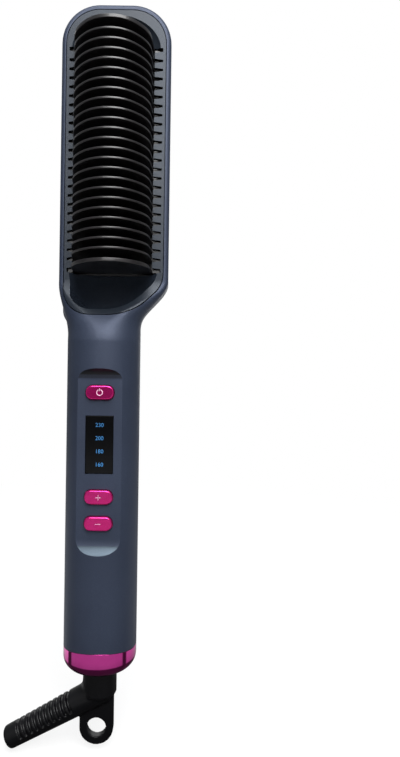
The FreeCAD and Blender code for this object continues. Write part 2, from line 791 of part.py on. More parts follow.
# ---------------------------------------------------------------------------------------
# Comb, bezel and heater
# ---------------------------------------------------------------------------------------
def make_heating_comb():
    """The coated aluminium comb: 25 fins and two rails on a base plate."""
    comb = new_body("heating_comb")
    half = "slot_width / 2 - seat_gap"
    left, right = f"head_shift - ({half})", f"head_shift + ({half})"
    padded(comb, "base_plate", "Y", "comb_floor", COMB_BACK,
           rectangle(left, right, COMB_LOW, COMB_HIGH, "comb_margin"))
    for side, (low, high) in (("left", (left, f"{left} + comb_rail")),
                              ("right", (f"{right} - comb_rail", right))):
        padded(comb, f"{side}_rail", "Y", "head_front_wall + seat_gap - head_front",
               COMB_BACK, rectangle(low, high, COMB_LOW, COMB_HIGH))

    crest = "(-head_front - fin_height)"
    foot, shoulder = "fin_width / 2", "fin_width / 2 - fin_lean"
    slot_foot = "head_front_wall + seat_gap - head_front"
    flank = [("head_shift", half, COMB_BACK), ("head_shift", half, slot_foot),
             ("comb_shift", foot, slot_foot),
             ("comb_shift", shoulder, f"{crest} + fin_shoulder"),
             ("comb_shift", "fin_crest / 2", crest)]
    profile = [(f"{middle} - ({reach})", depth) for middle, reach, depth in flank]
    profile += [(f"{middle} + ({reach})", depth) for middle, reach, depth in flank[::-1]]
    run = "(fin_width / 2 - fin_lean - fin_crest / 2)"
    slope = f"sqrt({run} * {run} + fin_shoulder * fin_shoulder)"
    crest_radius = f"(fin_crest / 2 - fin_flat) * fin_shoulder / ({slope} - {run})"
    rounding = [0, 0, 0, crest_radius, crest_radius]
    rounding += rounding[::-1]
    comb_row = padded(comb, "fin", "Z", "fin_first - fin_thickness / 2",
                      "fin_first + fin_thickness / 2", (profile, rounding))
    row = comb.newObject("PartDesign::LinearPattern", "fin_row")
    row.Originals = [comb_row]
    row.Direction = (axis_of(comb, "Z_Axis"), [""])
    bind(row, "Length", f"{FIN_COUNT - 1} * fin_pitch")
    row.Occurrences = FIN_COUNT
    comb.Tip = row
    for name, height in (("low", FIN_BOTTOM), ("high", FIN_TOP)):
        padded(comb, f"{name}_end_fin", "Z", f"{height} - end_fin_thickness / 2",
               f"{height} + end_fin_thickness / 2", (profile, rounding))
    finish(comb, "heating_comb")


def axis_of(body, role):
    return next(item for item in body.Origin.OriginFeatures if item.Role == role)


def bowl(name, height, length, inset):
    """A bowl's ellipsoid, drawn in by inset."""
    item = doc.addObject("Part::Ellipsoid", name)
    bind(item, "Radius1", f"{length} - ({inset})")
    bind(item, "Radius2", f"scoop_width / 2 - ({inset})")
    bind(item, "Radius3", f"scoop_depth - ({inset})")
    bind(item, ".Placement.Base.x", "head_shift")
    bind(item, ".Placement.Base.y", "-scoop_front")
    bind(item, ".Placement.Base.z", height)
    return item


def slot_form():
    """The comb window with its 25 tapering slots, as one cutting tool."""
    slots = new_body("comb_window")
    front, back = "-handle_width", "comb_floor"
    middle = "fin_width / 2"
    padded(slots, "window_pad", "Y", front, back,
           rectangle(f"comb_shift - {middle}", f"comb_shift + {middle}",
                     f"{FIN_BOTTOM} - slot_root / 2", f"{FIN_TOP} + slot_root / 2"))

    def slot_at(height, extra="0"):
        tip, root = ("slot_width / 2", "slot_tip"), (middle, "slot_root")
        middles = {tip: "head_shift", root: "comb_shift"}
        corners = [(-1, -1, tip), (-1, -1, root), (1, -1, root), (1, -1, tip),
                   (1, 1, tip), (1, 1, root), (-1, 1, root), (-1, 1, tip)]
        points = [(f"{middles[end]} + {side} * {end[0]}",
                   f"{height} + {up} * ({end[1]} + {extra}) / 2")
                  for side, up, end in corners]
        return points, [0] * len(points)

    first = padded(slots, "slot", "Y", front, back, slot_at("fin_first"))
    row = slots.newObject("PartDesign::LinearPattern", "slot_row")
    row.Originals = [first]
    row.Direction = (axis_of(slots, "Z_Axis"), [""])
    bind(row, "Length", f"{FIN_COUNT - 1} * fin_pitch")
    row.Occurrences = FIN_COUNT
    slots.Tip = row
    for name, height in (("low", FIN_BOTTOM), ("high", FIN_TOP)):
        padded(slots, f"{name}_end_slot", "Y", front, back,
               slot_at(height, "end_fin_thickness - fin_thickness"))
    return slots


def make_comb_bezel(outer, cavity):
    """The surround of the comb: slotted face and a hollow bowl at each end."""
    prism = new_body("bezel_prism")
    padded(prism, "bezel_prism_pad", "Y", "-handle_width", "head_front_wall",
           bezel_outline("bezel_gap"))
    face = common("bezel_face", [cut("bezel_wall", outer, [cavity]), prism])
    deep_prism = new_body("bezel_deep_prism")
    padded(deep_prism, "bezel_deep_prism_pad", "Y", "-handle_width", "head_core_back",
           bezel_outline("scoop_margin - scoop_wall"))
    rim_prism = new_body("bezel_rim_prism")
    padded(rim_prism, "bezel_rim_prism_pad", "Y", "-handle_width", "head_core_back",
           bezel_outline("scoop_margin"))
    ends = block("bezel_middle", ("-body_length", "body_length"),
                 ("-body_length", "body_length"),
                 (f"{COMB_LOW} - seat_gap", f"{COMB_HIGH} + seat_gap"))
    bowls = fuse("bowl_forms", [bowl("low_bowl_form", FIN_BOTTOM, "scoop_low", "-scoop_wall"),
                                bowl("high_bowl_form", FIN_TOP, "scoop_high",
                                     "-scoop_wall")])
    walls = cut("bowl_walls", common("bowl_blanks", [outer, deep_prism, bowls]), [ends])
    tabs = block("bezel_tabs", ("-body_length", "body_length"),
                 ("-body_length", "body_length"), (FIN_BOTTOM, FIN_TOP))
    hollows = cut("bowl_hollows", common("bowl_spaces", [
        fuse("bowls", [bowl("low_bowl", FIN_BOTTOM, "scoop_low", 0),
                       bowl("high_bowl", FIN_TOP, "scoop_high", 0)]), rim_prism]), [tabs])
    finish(cut("comb_bezel", fuse("bezel_blank", [face, walls]), [hollows, slot_form()]),
           "comb_bezel")


def make_heater():
    """PTC heaters, insulation, clamp plate and its screws behind the comb."""
    half = "heater_width / 2"
    left, right = f"comb_shift - {half}", f"comb_shift + {half}"
    heaters = [block(f"heater_{i}", (left, right), (COMB_BACK, HEATER_BACK),
                     (f"heater_first + {i} * heater_step",
                      f"heater_first + {i} * heater_step + heater_length"))
               for i in range(HEATER_COUNT)]
    finish(group("ptc_heaters", heaters), "ptc_heaters")
    sheet_body = new_body("insulation_sheet")
    padded(sheet_body, "sheet_pad", "Y", HEATER_BACK, CLAMP_FRONT,
           rectangle(f"{left} - sheet_margin", f"{right} + sheet_margin", "heater_first",
                     f"{HEATER_HIGH} + sheet_margin", "sheet_margin"))
    finish(sheet_body, "insulation_sheet")

    reach = "clamp_width / 2"
    screws = [(f"comb_shift + {side} * clamp_screw_reach", height)
              for height in ("heater_first + heater_length + (heater_step - heater_length) / 2",
                             f"{HEATER_HIGH} - heater_length - "
                             "(heater_step - heater_length) / 2")
              for side in (-1, 1)]
    clamp = new_body("clamp_form")
    padded(clamp, "clamp_pad", "Y", CLAMP_FRONT, CLAMP_BACK,
           rectangle(f"{left} - wall", f"{right} + wall", "heater_first + wall",
                     HEATER_HIGH, "wall / 2"))
    for i, (_, height) in enumerate(screws[::2]):
        padded(clamp, f"clamp_arm_{i}", "Y", CLAMP_FRONT, CLAMP_BACK,
               rectangle(f"comb_shift - {reach}", f"comb_shift + {reach}",
                         f"{height} - screw_head_radius - wall",
                         f"{height} + screw_head_radius + wall", "wall"))
    shanks = [rod(f"clamp_hole_{i}", "Y", place, "comb_floor", "head_back", "screw_radius")
              for i, place in enumerate(screws)]
    finish(cut("heater_clamp_plate", clamp, shanks), "heater_clamp_plate")

    spacers = [cut(f"clamp_spacer_{i}",
                   rod(f"spacer_form_{i}", "Y", place, COMB_BACK, CLAMP_FRONT,
                       "boss_radius"),
                   [rod(f"spacer_bore_{i}", "Y", place, "comb_floor", "head_back",
                        "screw_radius")]) for i, place in enumerate(screws)]
    finish(group("clamp_spacers", spacers), "clamp_spacers")
    finish(group("clamp_screws", [
        screw(f"clamp_screw_{i}", place, COMB_BACK, CLAMP_BACK, 1)
        for i, place in enumerate(screws)]), "clamp_screws")

    bead_x = "comb_shift + bead_reach"
    finish(rod("thermistor", "Z", (bead_x, f"{COMB_BACK} + bead_radius"),
               "bead_height", "bead_height + 3 * bead_radius", "bead_radius"),
           "thermistor", grounded=True)
    finish(rod("thermal_fuse", "Z",
               ("comb_shift - fuse_reach", f"{COMB_BACK} + fuse_radius"),
               "fuse_low", "fuse_low + fuse_length", "fuse_radius"),
           "thermal_fuse", grounded=True)
    lead_depth = f"{COMB_BACK} + heater_thickness / 2"
    finish(group("heater_leads", [
        rod(f"heater_lead_{side}", "Z", (f"comb_shift {side} lead_reach", lead_depth),
            "power_board_high", "heater_first", "lead_radius")
        for side in ("-", "+")]), "heater_leads")
    finish(group("thermistor_leads", [
        rod(f"thermistor_lead_{side}", "Z",
            (f"{bead_x} {side} bead_radius / 2", f"{COMB_BACK} + bead_radius"),
            "power_board_high", "bead_height", "thin_lead_radius")
        for side in ("-", "+")]), "thermistor_leads")


def screw(name, place, seat_end, head_start, direction):
    """A pan-head screw along Y: its thread runs away from the head past seat_end."""
    if direction > 0:
        shank = rod(f"{name}_shank", "Y", place, f"{seat_end}", head_start, "screw_radius")
        head = rod(f"{name}_head", "Y", place, head_start, f"{head_start} + screw_head",
                   "screw_head_radius")
    else:
        shank = rod(f"{name}_shank", "Y", place, head_start, seat_end, "screw_radius")
        head = rod(f"{name}_head", "Y", place, f"{head_start} - screw_head", head_start,
                   "screw_head_radius")
    return fuse(name, [shank, head])


# ---------------------------------------------------------------------------------------
# Back cover
# ---------------------------------------------------------------------------------------
def make_back_cover():
    """The bright trim frame and the faceted plate that it holds down."""
    frame = new_body("back_trim_frame")
    top = "head_back + frame_proud"
    padded(frame, "frame_rim", "Y", "cover_floor", top, cover_outline(0))
    pocketed(frame, "frame_opening", "Y", "cover_floor", top, cover_outline("frame_band"))
    levels = ((top, "frame_band - frame_slope_width"),
              (f"{top} - frame_slope_depth", "frame_band"))
    sketches = [draw_outline(sketch_on(frame, f"frame_slope_{i}", "Y", level),
                             *cover_outline(inset)) for i, (level, inset) in enumerate(levels)]
    slope = frame.newObject("PartDesign::SubtractiveLoft", "frame_slope")
    slope.Profile = sketches[0]
    slope.Sections = sketches[1:]
    rounded(frame, "frame_edges", "frame_edge", lambda edge: lies_at(edge, "Y", top))
    finish(frame, "back_trim_frame")

    plate = new_body("back_plate")
    padded(plate, "plate_pad", "Y", "cover_floor", "cover_floor + plate_thickness",
           cover_outline("frame_band + seat_gap"))
    finish(plate, "back_plate")


# ---------------------------------------------------------------------------------------
# Control panel and boards
# ---------------------------------------------------------------------------------------
def symbol_cuts(cap, name, height):
    """The engraved mark on a button: a ring with a stroke, a plus or a minus."""
    front = "-panel_depth - button_proud"
    floor = f"{front} + symbol_depth"
    half, stroke = "symbol_length / 2", "symbol_stroke / 2"
    level = rectangle(f"-{half}", half, f"{height} - {stroke}", f"{height} + {stroke}")
    upright = rectangle(f"-{stroke}", stroke, f"{height} - {half}", f"{height} + {half}")
    if name == "power":
        sketch = sketch_on(cap, "ring_sketch", "Y", front)
        draw_circle(sketch, "0", height, half)
        draw_circle(sketch, "0", height, f"{half} - symbol_stroke")
        ring = cap.newObject("PartDesign::Pocket", "ring_mark")
        ring.Profile = sketch
        bind(ring, "Length", "symbol_depth")
        upright = rectangle(f"-{stroke}", stroke, f"{height} + {half} - symbol_stroke * 2",
                            f"{height} + {half} + symbol_stroke / 2")
        pocketed(cap, "stroke_mark", "Y", front, floor, upright)
        return
    pocketed(cap, "level_mark", "Y", front, floor, level)
    if name == "plus":
        pocketed(cap, "upright_mark", "Y", front, floor, upright)


def make_buttons():
    """The three caps; each slides in its own hole and is kept in by its flange."""
    for name, height in BUTTONS.items():
        cap = new_body(f"{name}_button")
        front = "-panel_depth - button_proud"
        back = f"{FLANGE_FRONT} + flange_thickness"
        padded(cap, f"{name}_flange", "Y", FLANGE_FRONT, back,
               button_outline(height, "button_flange"))
        padded(cap, f"{name}_cap", "Y", front, back, button_outline(height, 0))
        rounded(cap, f"{name}_edge", "button_edge", lambda edge: lies_at(edge, "Y", front))
        symbol_cuts(cap, name, height)
        finish(cap, f"{name}_button")


def make_display():
    """The dark window, the light shield behind it and the four LEDs."""
    window = new_body("display_window")
    foot = f"{PANEL_INNER} + window_foot"
    padded(window, "window_flange", "Y", PANEL_INNER, foot, window_outline("window_flange"))
    padded(window, "window_lens", "Y", "window_inset - panel_depth", foot,
           window_outline("-seat_gap"))
    finish(window, "display_window")

    shield = new_body("light_shield")
    padded(shield, "shield_pad", "Y", foot, "-control_board_face",
           window_outline("-window_inset"))
    half = "window_width / 2 - window_inset - light_wall"
    for i in range(LED_COUNT):
        centre = f"(led_first + {i} * led_step)"
        reach = "(led_step - light_wall) / 2"
        pocketed(shield, f"led_well_{i}", "Y", foot, "-control_board_face",
                 rectangle(f"-({half})", half, f"{centre} - {reach}", f"{centre} + {reach}"))
    finish(shield, "light_shield")
    finish(group("temperature_leds", [
        block(f"led_{i}", ("-led_size / 2", "led_size / 2"),
              ("-control_board_face - led_height", "-control_board_face"),
              (f"led_first + {i} * led_step - led_size / 2",
               f"led_first + {i} * led_step + led_size / 2"))
        for i in range(LED_COUNT)]), "temperature_leds")


def make_board(name, face, width, low, high, screws):
    """A printed circuit board with its screw holes."""
    board = new_body(f"{name}_form")
    padded(board, f"{name}_pad", "Y", face, f"{face} + board_thickness",
           rectangle(f"-{width} / 2", f"{width} / 2", low, high, "screw_radius"))
    holes = [rod(f"{name}_hole_{i}", "Y", place, f"{face} - board_thickness",
                 f"{face} + board_thickness * 2", "screw_radius")
             for i, place in enumerate(screws)]
    finish(cut(name, board, holes), name)


def make_electronics():
    """Both boards with the components that they carry, and their screws."""
    control_screws, power_screws = screw_places()
    make_board("control_board", "-control_board_face", "board_width", "board_low",
               "board_high", control_screws)
    finish(group("control_board_screws", [
        screw(f"control_screw_{i}", place, "-control_board_face - pilot_depth",
              CONTROL_BACK, 1) for i, place in enumerate(control_screws)]),
        "control_board_screws")
    switches = []
    for name, height in BUTTONS.items():
        half = "switch_size / 2"
        switch_body = block(f"{name}_switch_body", (f"-{half}", half),
                            (SWITCH_FRONT, "-control_board_face"),
                            (f"{height} - {half}", f"{height} + {half}"))
        plunger = rod(f"{name}_plunger", "Y", ("0", height),
                      f"{SWITCH_FRONT} - plunger_height", SWITCH_FRONT, "plunger_radius")
        switches.append(fuse(f"{name}_switch", [switch_body, plunger]))
    finish(group("tact_switches", switches), "tact_switches")
    chip = "chip_size / 2"
    chip_height = "(board_low + board_high) / 2"
    finish(group("microcontroller", [
        block("chip", (f"-{chip}", chip), (CONTROL_BACK, f"{CONTROL_BACK} + chip_thickness"),
              (f"{chip_height} - {chip}", f"{chip_height} + {chip}"))]), "microcontroller")
    finish(group("board_header", [
        block("header", (f"-{chip}", chip), (CONTROL_BACK, "power_board_face"),
              ("header_high - header_length", "header_high"))
    ]), "board_header")

    make_board("power_board", "power_board_face", "power_board_width", "power_board_low",
               "power_board_high", power_screws)
    finish(group("power_board_screws", [
        screw(f"power_screw_{i}", place, f"{POWER_BACK} + pilot_depth",
              "power_board_face", -1) for i, place in enumerate(power_screws)]),
        "power_board_screws")
    for name, (half, height, low, length) in {
            "film_capacitor": ("capacitor_width / 2", "capacitor_height", "capacitor_low",
                               "capacitor_length"),
            "triac": ("triac_width / 2", "triac_height", "triac_low", "triac_length"),
            "terminal_block": ("terminal_width / 2", "terminal_height",
                               "power_board_low", "terminal_length")}.items():
        component = new_body(name)
        padded(component, f"{name}_pad", "Y", POWER_BACK, f"{POWER_BACK} + {height}",
               rectangle(f"-{half}", half, low, f"{low} + {length}", "component_corner"))
        finish(component, name)
    heater_terminal = new_body("heater_terminal")
    padded(heater_terminal, "heater_terminal_pad", "Y", POWER_BACK,
           f"{POWER_BACK} + heater_terminal_height",
           rectangle("comb_shift - lead_reach - 2 * lead_radius",
                     "comb_shift + bead_reach + bead_radius",
                     "power_board_high - heater_terminal_length", "power_board_high",
                     "component_corner"))
    finish(heater_terminal, "heater_terminal")
    for name, side in (("mains_fuse", "-"), ("dropper_resistor", "")):
        finish(rod(name, "Z", (f"{side}tube_reach", f"{POWER_BACK} + tube_radius"),
                   "tube_low", "tube_low + tube_length", "tube_radius"), name,
               grounded=True)


# ---------------------------------------------------------------------------------------
# End ring and swivel
# ---------------------------------------------------------------------------------------
def make_end_ring():
    """The bright cup that closes the handle, with the sleeve that plugs into the shells."""
    cup = new_body("cup_form")
    padded(cup, "cup_pad", "Z", "0", "arch_height", handle_outline(0))
    rounded(cup, "cup_edge", "ring_bottom_edge", lambda edge: lies_at(edge, "Z", "0"))
    arched = common("arched_cup", [cup, arch("cup_arch", "sleeve_gap")])
    sleeve = new_body("sleeve_form")
    padded(sleeve, "sleeve_pad", "Z", "ring_floor", "sleeve_top",
           handle_outline("wall + sleeve_gap"))
    bore = rod("sleeve_bore_form", "Z", ("0", "0"), "ring_floor", "body_length",
               "sleeve_bore")
    hole = rod("neck_hole", "Z", ("0", "0"), "-ring_floor", "body_length",
               "neck_radius + neck_clearance")
    finish(cut("end_ring", fuse("ring_blank", [arched, sleeve]), [bore, hole]), "end_ring")


FLANGE_LOW = "(ring_floor + axial_play)"
FLANGE_HIGH = f"({FLANGE_LOW} + hub_flange)"
RETAINER_LOW = f"({FLANGE_HIGH} + axial_play)"


def make_swivel():
    """The swivelling hub with its brass contacts, and the fixed pieces that hold it."""
    bore = "hub_bore"
    hub_blank = fuse("hub_blank", [
        rod("hub_flange_form", "Z", ("0", "0"), FLANGE_LOW, FLANGE_HIGH,
            "hub_flange_radius"),
        rod("hub_barrel", "Z", ("0", "0"), "-hub_root", "slip_ring_top", "hub_radius")])
    finish(cut("swivel_hub", hub_blank, [
        rod("hub_bore_form", "Z", ("0", "0"), "-body_length", "body_length", bore)]),
        "swivel_hub")
    finish(cut("slip_ring", rod("slip_ring_form", "Z", ("0", "0"), FLANGE_HIGH,
                                "slip_ring_top", "hub_radius + slip_ring_wall"),
               [rod("slip_ring_bore", "Z", ("0", "0"), "-hub_root", "body_length",
                    "hub_radius")]), "slip_ring")
    finish(fuse("slip_pin", [
        rod("pin_tip", "Z", ("0", "0"), "slip_ring_top", "pin_top", "pin_radius"),
        rod("pin_root", "Z", ("0", "0"), FLANGE_HIGH, "slip_ring_top", bore)]), "slip_pin")

    finish(cut("swivel_retainer", rod("retainer_form", "Z", ("0", "0"), RETAINER_LOW,
                                      f"{RETAINER_LOW} + retainer", "sleeve_bore"),
               [rod("retainer_bore", "Z", ("0", "0"), "0", "body_length",
                    "hub_radius + slip_ring_wall + retainer_clearance")]),
           "swivel_retainer")
    finish(cut("contact_block", rod("contact_block_form", "Z", ("0", "0"),
                                    "contact_block_low",
                                    "contact_block_low + contact_block", "sleeve_bore"),
               [rod(f"supply_hole_{side}", "Z", (f"{side}supply_reach", "supply_depth"),
                    "0", "body_length", "lead_radius") for side in ("", "-")]),
           "contact_block")
    inner = "hub_radius + slip_ring_wall + contact_gap"
    half = "contact_width / 2"
    finish(group("contact_springs", [
        block("ring_contact", (inner, f"{inner} + contact_thickness"), (f"-{half}", half),
              ("contact_low", "contact_block_low")),
        block("pin_contact", (f"-{half}", half), (f"-{half}", half),
              ("pin_top + contact_gap", "contact_block_low"))]), "contact_springs")
    finish(group("supply_leads", [
        rod(f"supply_lead_{side}", "Z", (f"{side}supply_reach", "supply_depth"),
            "contact_block_low", "power_board_low", "lead_radius")
        for side in ("", "-")]), "supply_leads")


def make_cord_tail():
    """The rubber tail: neck, hanging loop and ribbed cord boot in one moulding."""
    neck = rod("tail_neck", "Z", ("0", "0"), "-loop_root", FLANGE_LOW, "neck_radius")
    loop = new_body("tail_loop")
    half = "loop_width / 2"
    padded(loop, "loop_pad", "Y", "-loop_thickness / 2", "loop_thickness / 2",
           rectangle(f"-loop_shift - {half}", f"-loop_shift + {half}",
                     f"-loop_drop - {half}", "-loop_root + neck_radius",
                     f"{half} - seat_gap"))
    hole = rod("loop_hole_form", "Y", ("-loop_shift", "-loop_drop"), "-loop_width",
               "loop_width", "loop_hole")

    # the boot is drawn along +Z and then swung down to -X
    boot = new_body("tail_boot")
    cone = boot.newObject("PartDesign::AdditiveCone", "boot_cone")
    bind(cone, "Radius1", "boot_root")
    bind(cone, "Radius2", "boot_tip")
    bind(cone, "Height", "boot_length")
    rounded(boot, "boot_end", "boot_end_edge",
            lambda edge: lies_at(edge, "Z", "boot_length"))
    ring_cuts = []
    for i in range(RIB_SLOT_COUNT):
        low = f"rib_slot_first + {i} * rib_slot_pitch"
        washer = cut(f"rib_washer_{i}",
                     rod(f"rib_outer_{i}", "Z", ("0", "0"), low, f"{low} + rib_slot_width",
                         "boot_root * 2"),
                     [rod(f"rib_inner_{i}", "Z", ("0", "0"), "0", "boot_length",
                          "rib_core")])
        ring_cuts.append(washer)
    keel = block("rib_keel_form", ("-boot_root * 3", "-rib_wrap"),
                 ("-boot_root * 3", "boot_root * 3"), ("0", "boot_length"))
    cord_hole = rod("cord_hole", "Z", ("0", "0"), "boot_length - cord_bore_depth",
                    "boot_length * 2", "cord_bore")
    slots = cut("rib_slots", fuse("rib_washers", ring_cuts), [keel])
    ribbed = cut("ribbed_boot", boot, [slots, cord_hole])
    ribbed.Placement = FreeCAD.Placement(
        FreeCAD.Vector(), FreeCAD.Rotation(FreeCAD.Vector(0, -1, 0),
                                           90 + value("boot_slope")))
    bind(ribbed, ".Placement.Rotation.Angle", "90 + boot_slope")
    bind(ribbed, ".Placement.Base.z", "-boot_axis_drop")
    knee = doc.addObject("Part::Sphere", "tail_knee")
    bind(knee, "Radius", "boot_root")
    bind(knee, ".Placement.Base.z", "-boot_axis_drop")
    hub_hole = rod("hub_seat", "Z", ("0", "0"), "-hub_root", "body_length", "hub_radius")
    finish(cut("cord_tail", fuse("tail_blank", [neck, knee, loop, ribbed]), [hole, hub_hole]),
           "cord_tail")


def write_parts():
    """Checks every object and writes each finished sub-part."""
    doc.recompute()
    for item in doc.Objects:
        if "Invalid" in item.State or "Error" in item.State:
            raise RuntimeError(f"{item.Name} failed: {item.State}")
    os.makedirs("parts", exist_ok=True)
    for item in finished:
        shape = item.Shape
        if shape.isNull() or not shape.isValid():
            raise RuntimeError(f"{item.Label} has no valid shape")
        shape.exportStep(f"parts/{item.Label}.step")
        box = shape.BoundBox
        print(f"{item.Label}: {len(shape.Solids)} solid(s), {shape.Volume:.0f} mm3, "
              f"x {box.XMin:.2f}..{box.XMax:.2f} y {box.YMin:.2f}..{box.YMax:.2f} "
              f"z {box.ZMin:.2f}..{box.ZMax:.2f}")


outer_form = make_outer_form()
cavity_form = make_cavity()
make_shells(outer_form, cavity_form)
make_comb_bezel(outer_form, cavity_form)
make_heating_comb()
make_heater()
make_back_cover()
make_buttons()
make_display()
make_electronics()
make_end_ring()
make_swivel()
make_cord_tail()
write_parts()
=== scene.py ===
"""Heated comb brush: visible pieces, finishes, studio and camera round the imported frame."""
import json
import logging
import math
from collections.abc import Callable
from dataclasses import dataclass, field
from enum import Enum

import bpy
from mathutils import Matrix, Vector


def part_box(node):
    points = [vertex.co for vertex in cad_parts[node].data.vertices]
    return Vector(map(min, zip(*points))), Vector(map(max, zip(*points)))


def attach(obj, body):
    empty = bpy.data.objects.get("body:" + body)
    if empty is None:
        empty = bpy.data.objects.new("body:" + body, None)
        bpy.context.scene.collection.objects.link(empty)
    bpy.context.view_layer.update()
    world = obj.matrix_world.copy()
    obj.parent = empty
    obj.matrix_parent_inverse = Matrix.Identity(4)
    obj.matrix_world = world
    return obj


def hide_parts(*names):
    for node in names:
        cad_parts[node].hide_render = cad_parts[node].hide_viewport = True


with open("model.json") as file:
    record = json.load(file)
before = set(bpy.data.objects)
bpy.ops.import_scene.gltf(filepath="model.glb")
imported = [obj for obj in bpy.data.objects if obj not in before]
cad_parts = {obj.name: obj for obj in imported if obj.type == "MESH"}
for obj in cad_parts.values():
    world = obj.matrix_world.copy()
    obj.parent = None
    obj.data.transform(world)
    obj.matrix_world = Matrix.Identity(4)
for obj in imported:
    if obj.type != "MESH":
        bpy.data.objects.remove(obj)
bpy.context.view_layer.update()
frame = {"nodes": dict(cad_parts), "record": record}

MM = 0.001
log = logging.getLogger("brush")

FLOOR_LEVEL_MM = -119.5
HOUSING = "housing"

# The sRGB curve: a straight start up to its knee, then a power
SRGB_KNEE = 0.04045
SRGB_SLOPE = 12.92
SRGB_OFFSET = 0.055
SRGB_POWER = 2.4

# Corners closer than these are one corner, and flatter seams than this are dissolved
LOADED_MERGE_MM = 0.0005
BUILT_MERGE_MM = 0.001
FLAT_DEGREES = 0.4
# How near an edge's middle lies to a corner's place to count as on it
ON_CORNER_MM = 0.01
# How far a larger face leads the shading of the faces round it, of 100
NORMAL_WEIGHT = 80

# Noise of the finishes: fine grain, and wide clouds that vary gloss and tone
BRUSH_STRETCH = (1, 1, 18)
GRAIN_DETAIL = 3.0
GRAIN_ROUGHNESS = 0.55
CLOUD_DETAIL = 2.0
GLOSS_SPREAD = (0.86, 1.16)
MOTTLE_SPREAD = (0.12, 0.42)


# ------------------------------------------------------------------------------------------
# Finishes
# ------------------------------------------------------------------------------------------
def linear(code: str) -> tuple[float, float, float, float]:
    """Turns an sRGB hex colour into linear light.

    Args:
        code: six hex digits, with or without a leading #.

    Returns:
        Linear red, green and blue, and an alpha of 1.
    """
    digits = code.lstrip("#")
    parts = [int(digits[i:i + 2], 16) / 255 for i in (0, 2, 4)]
    red, green, blue = (
        part / SRGB_SLOPE if part <= SRGB_KNEE
        else ((part + SRGB_OFFSET) / (1 + SRGB_OFFSET)) ** SRGB_POWER
        for part in parts)
    return red, green, blue, 1.0


def add_node(tree: bpy.types.NodeTree, kind: str, settings: dict | None = None,
             links: dict | None = None) -> bpy.types.Node:
    """Adds one node with its settings and its incoming links.

    Args:
        tree: the node tree that gets the node.
        kind: the node's type name.
        settings: attribute or input names, or input numbers, with their values.
        links: input names or numbers, with the output sockets that feed them.

    Returns:
        The new node.
    """
    node = tree.nodes.new(kind)
    for key, setting in (settings or {}).items():
        if isinstance(key, str) and key not in node.inputs:
            setattr(node, key, setting)
        else:
            node.inputs[key].default_value = setting
    for key, source in (links or {}).items():
        tree.links.new(source, node.inputs[key])
    return node


class Grain(Enum):
    """What a surface's tone follows, or how its grain runs."""
    EVEN = "even"
    BRUSHED = "brushed"
    # The scales' painted highlight and shade, paler at each raised lower tip
    FACET = "painted_scale_shade"
    GLOW = "glow"


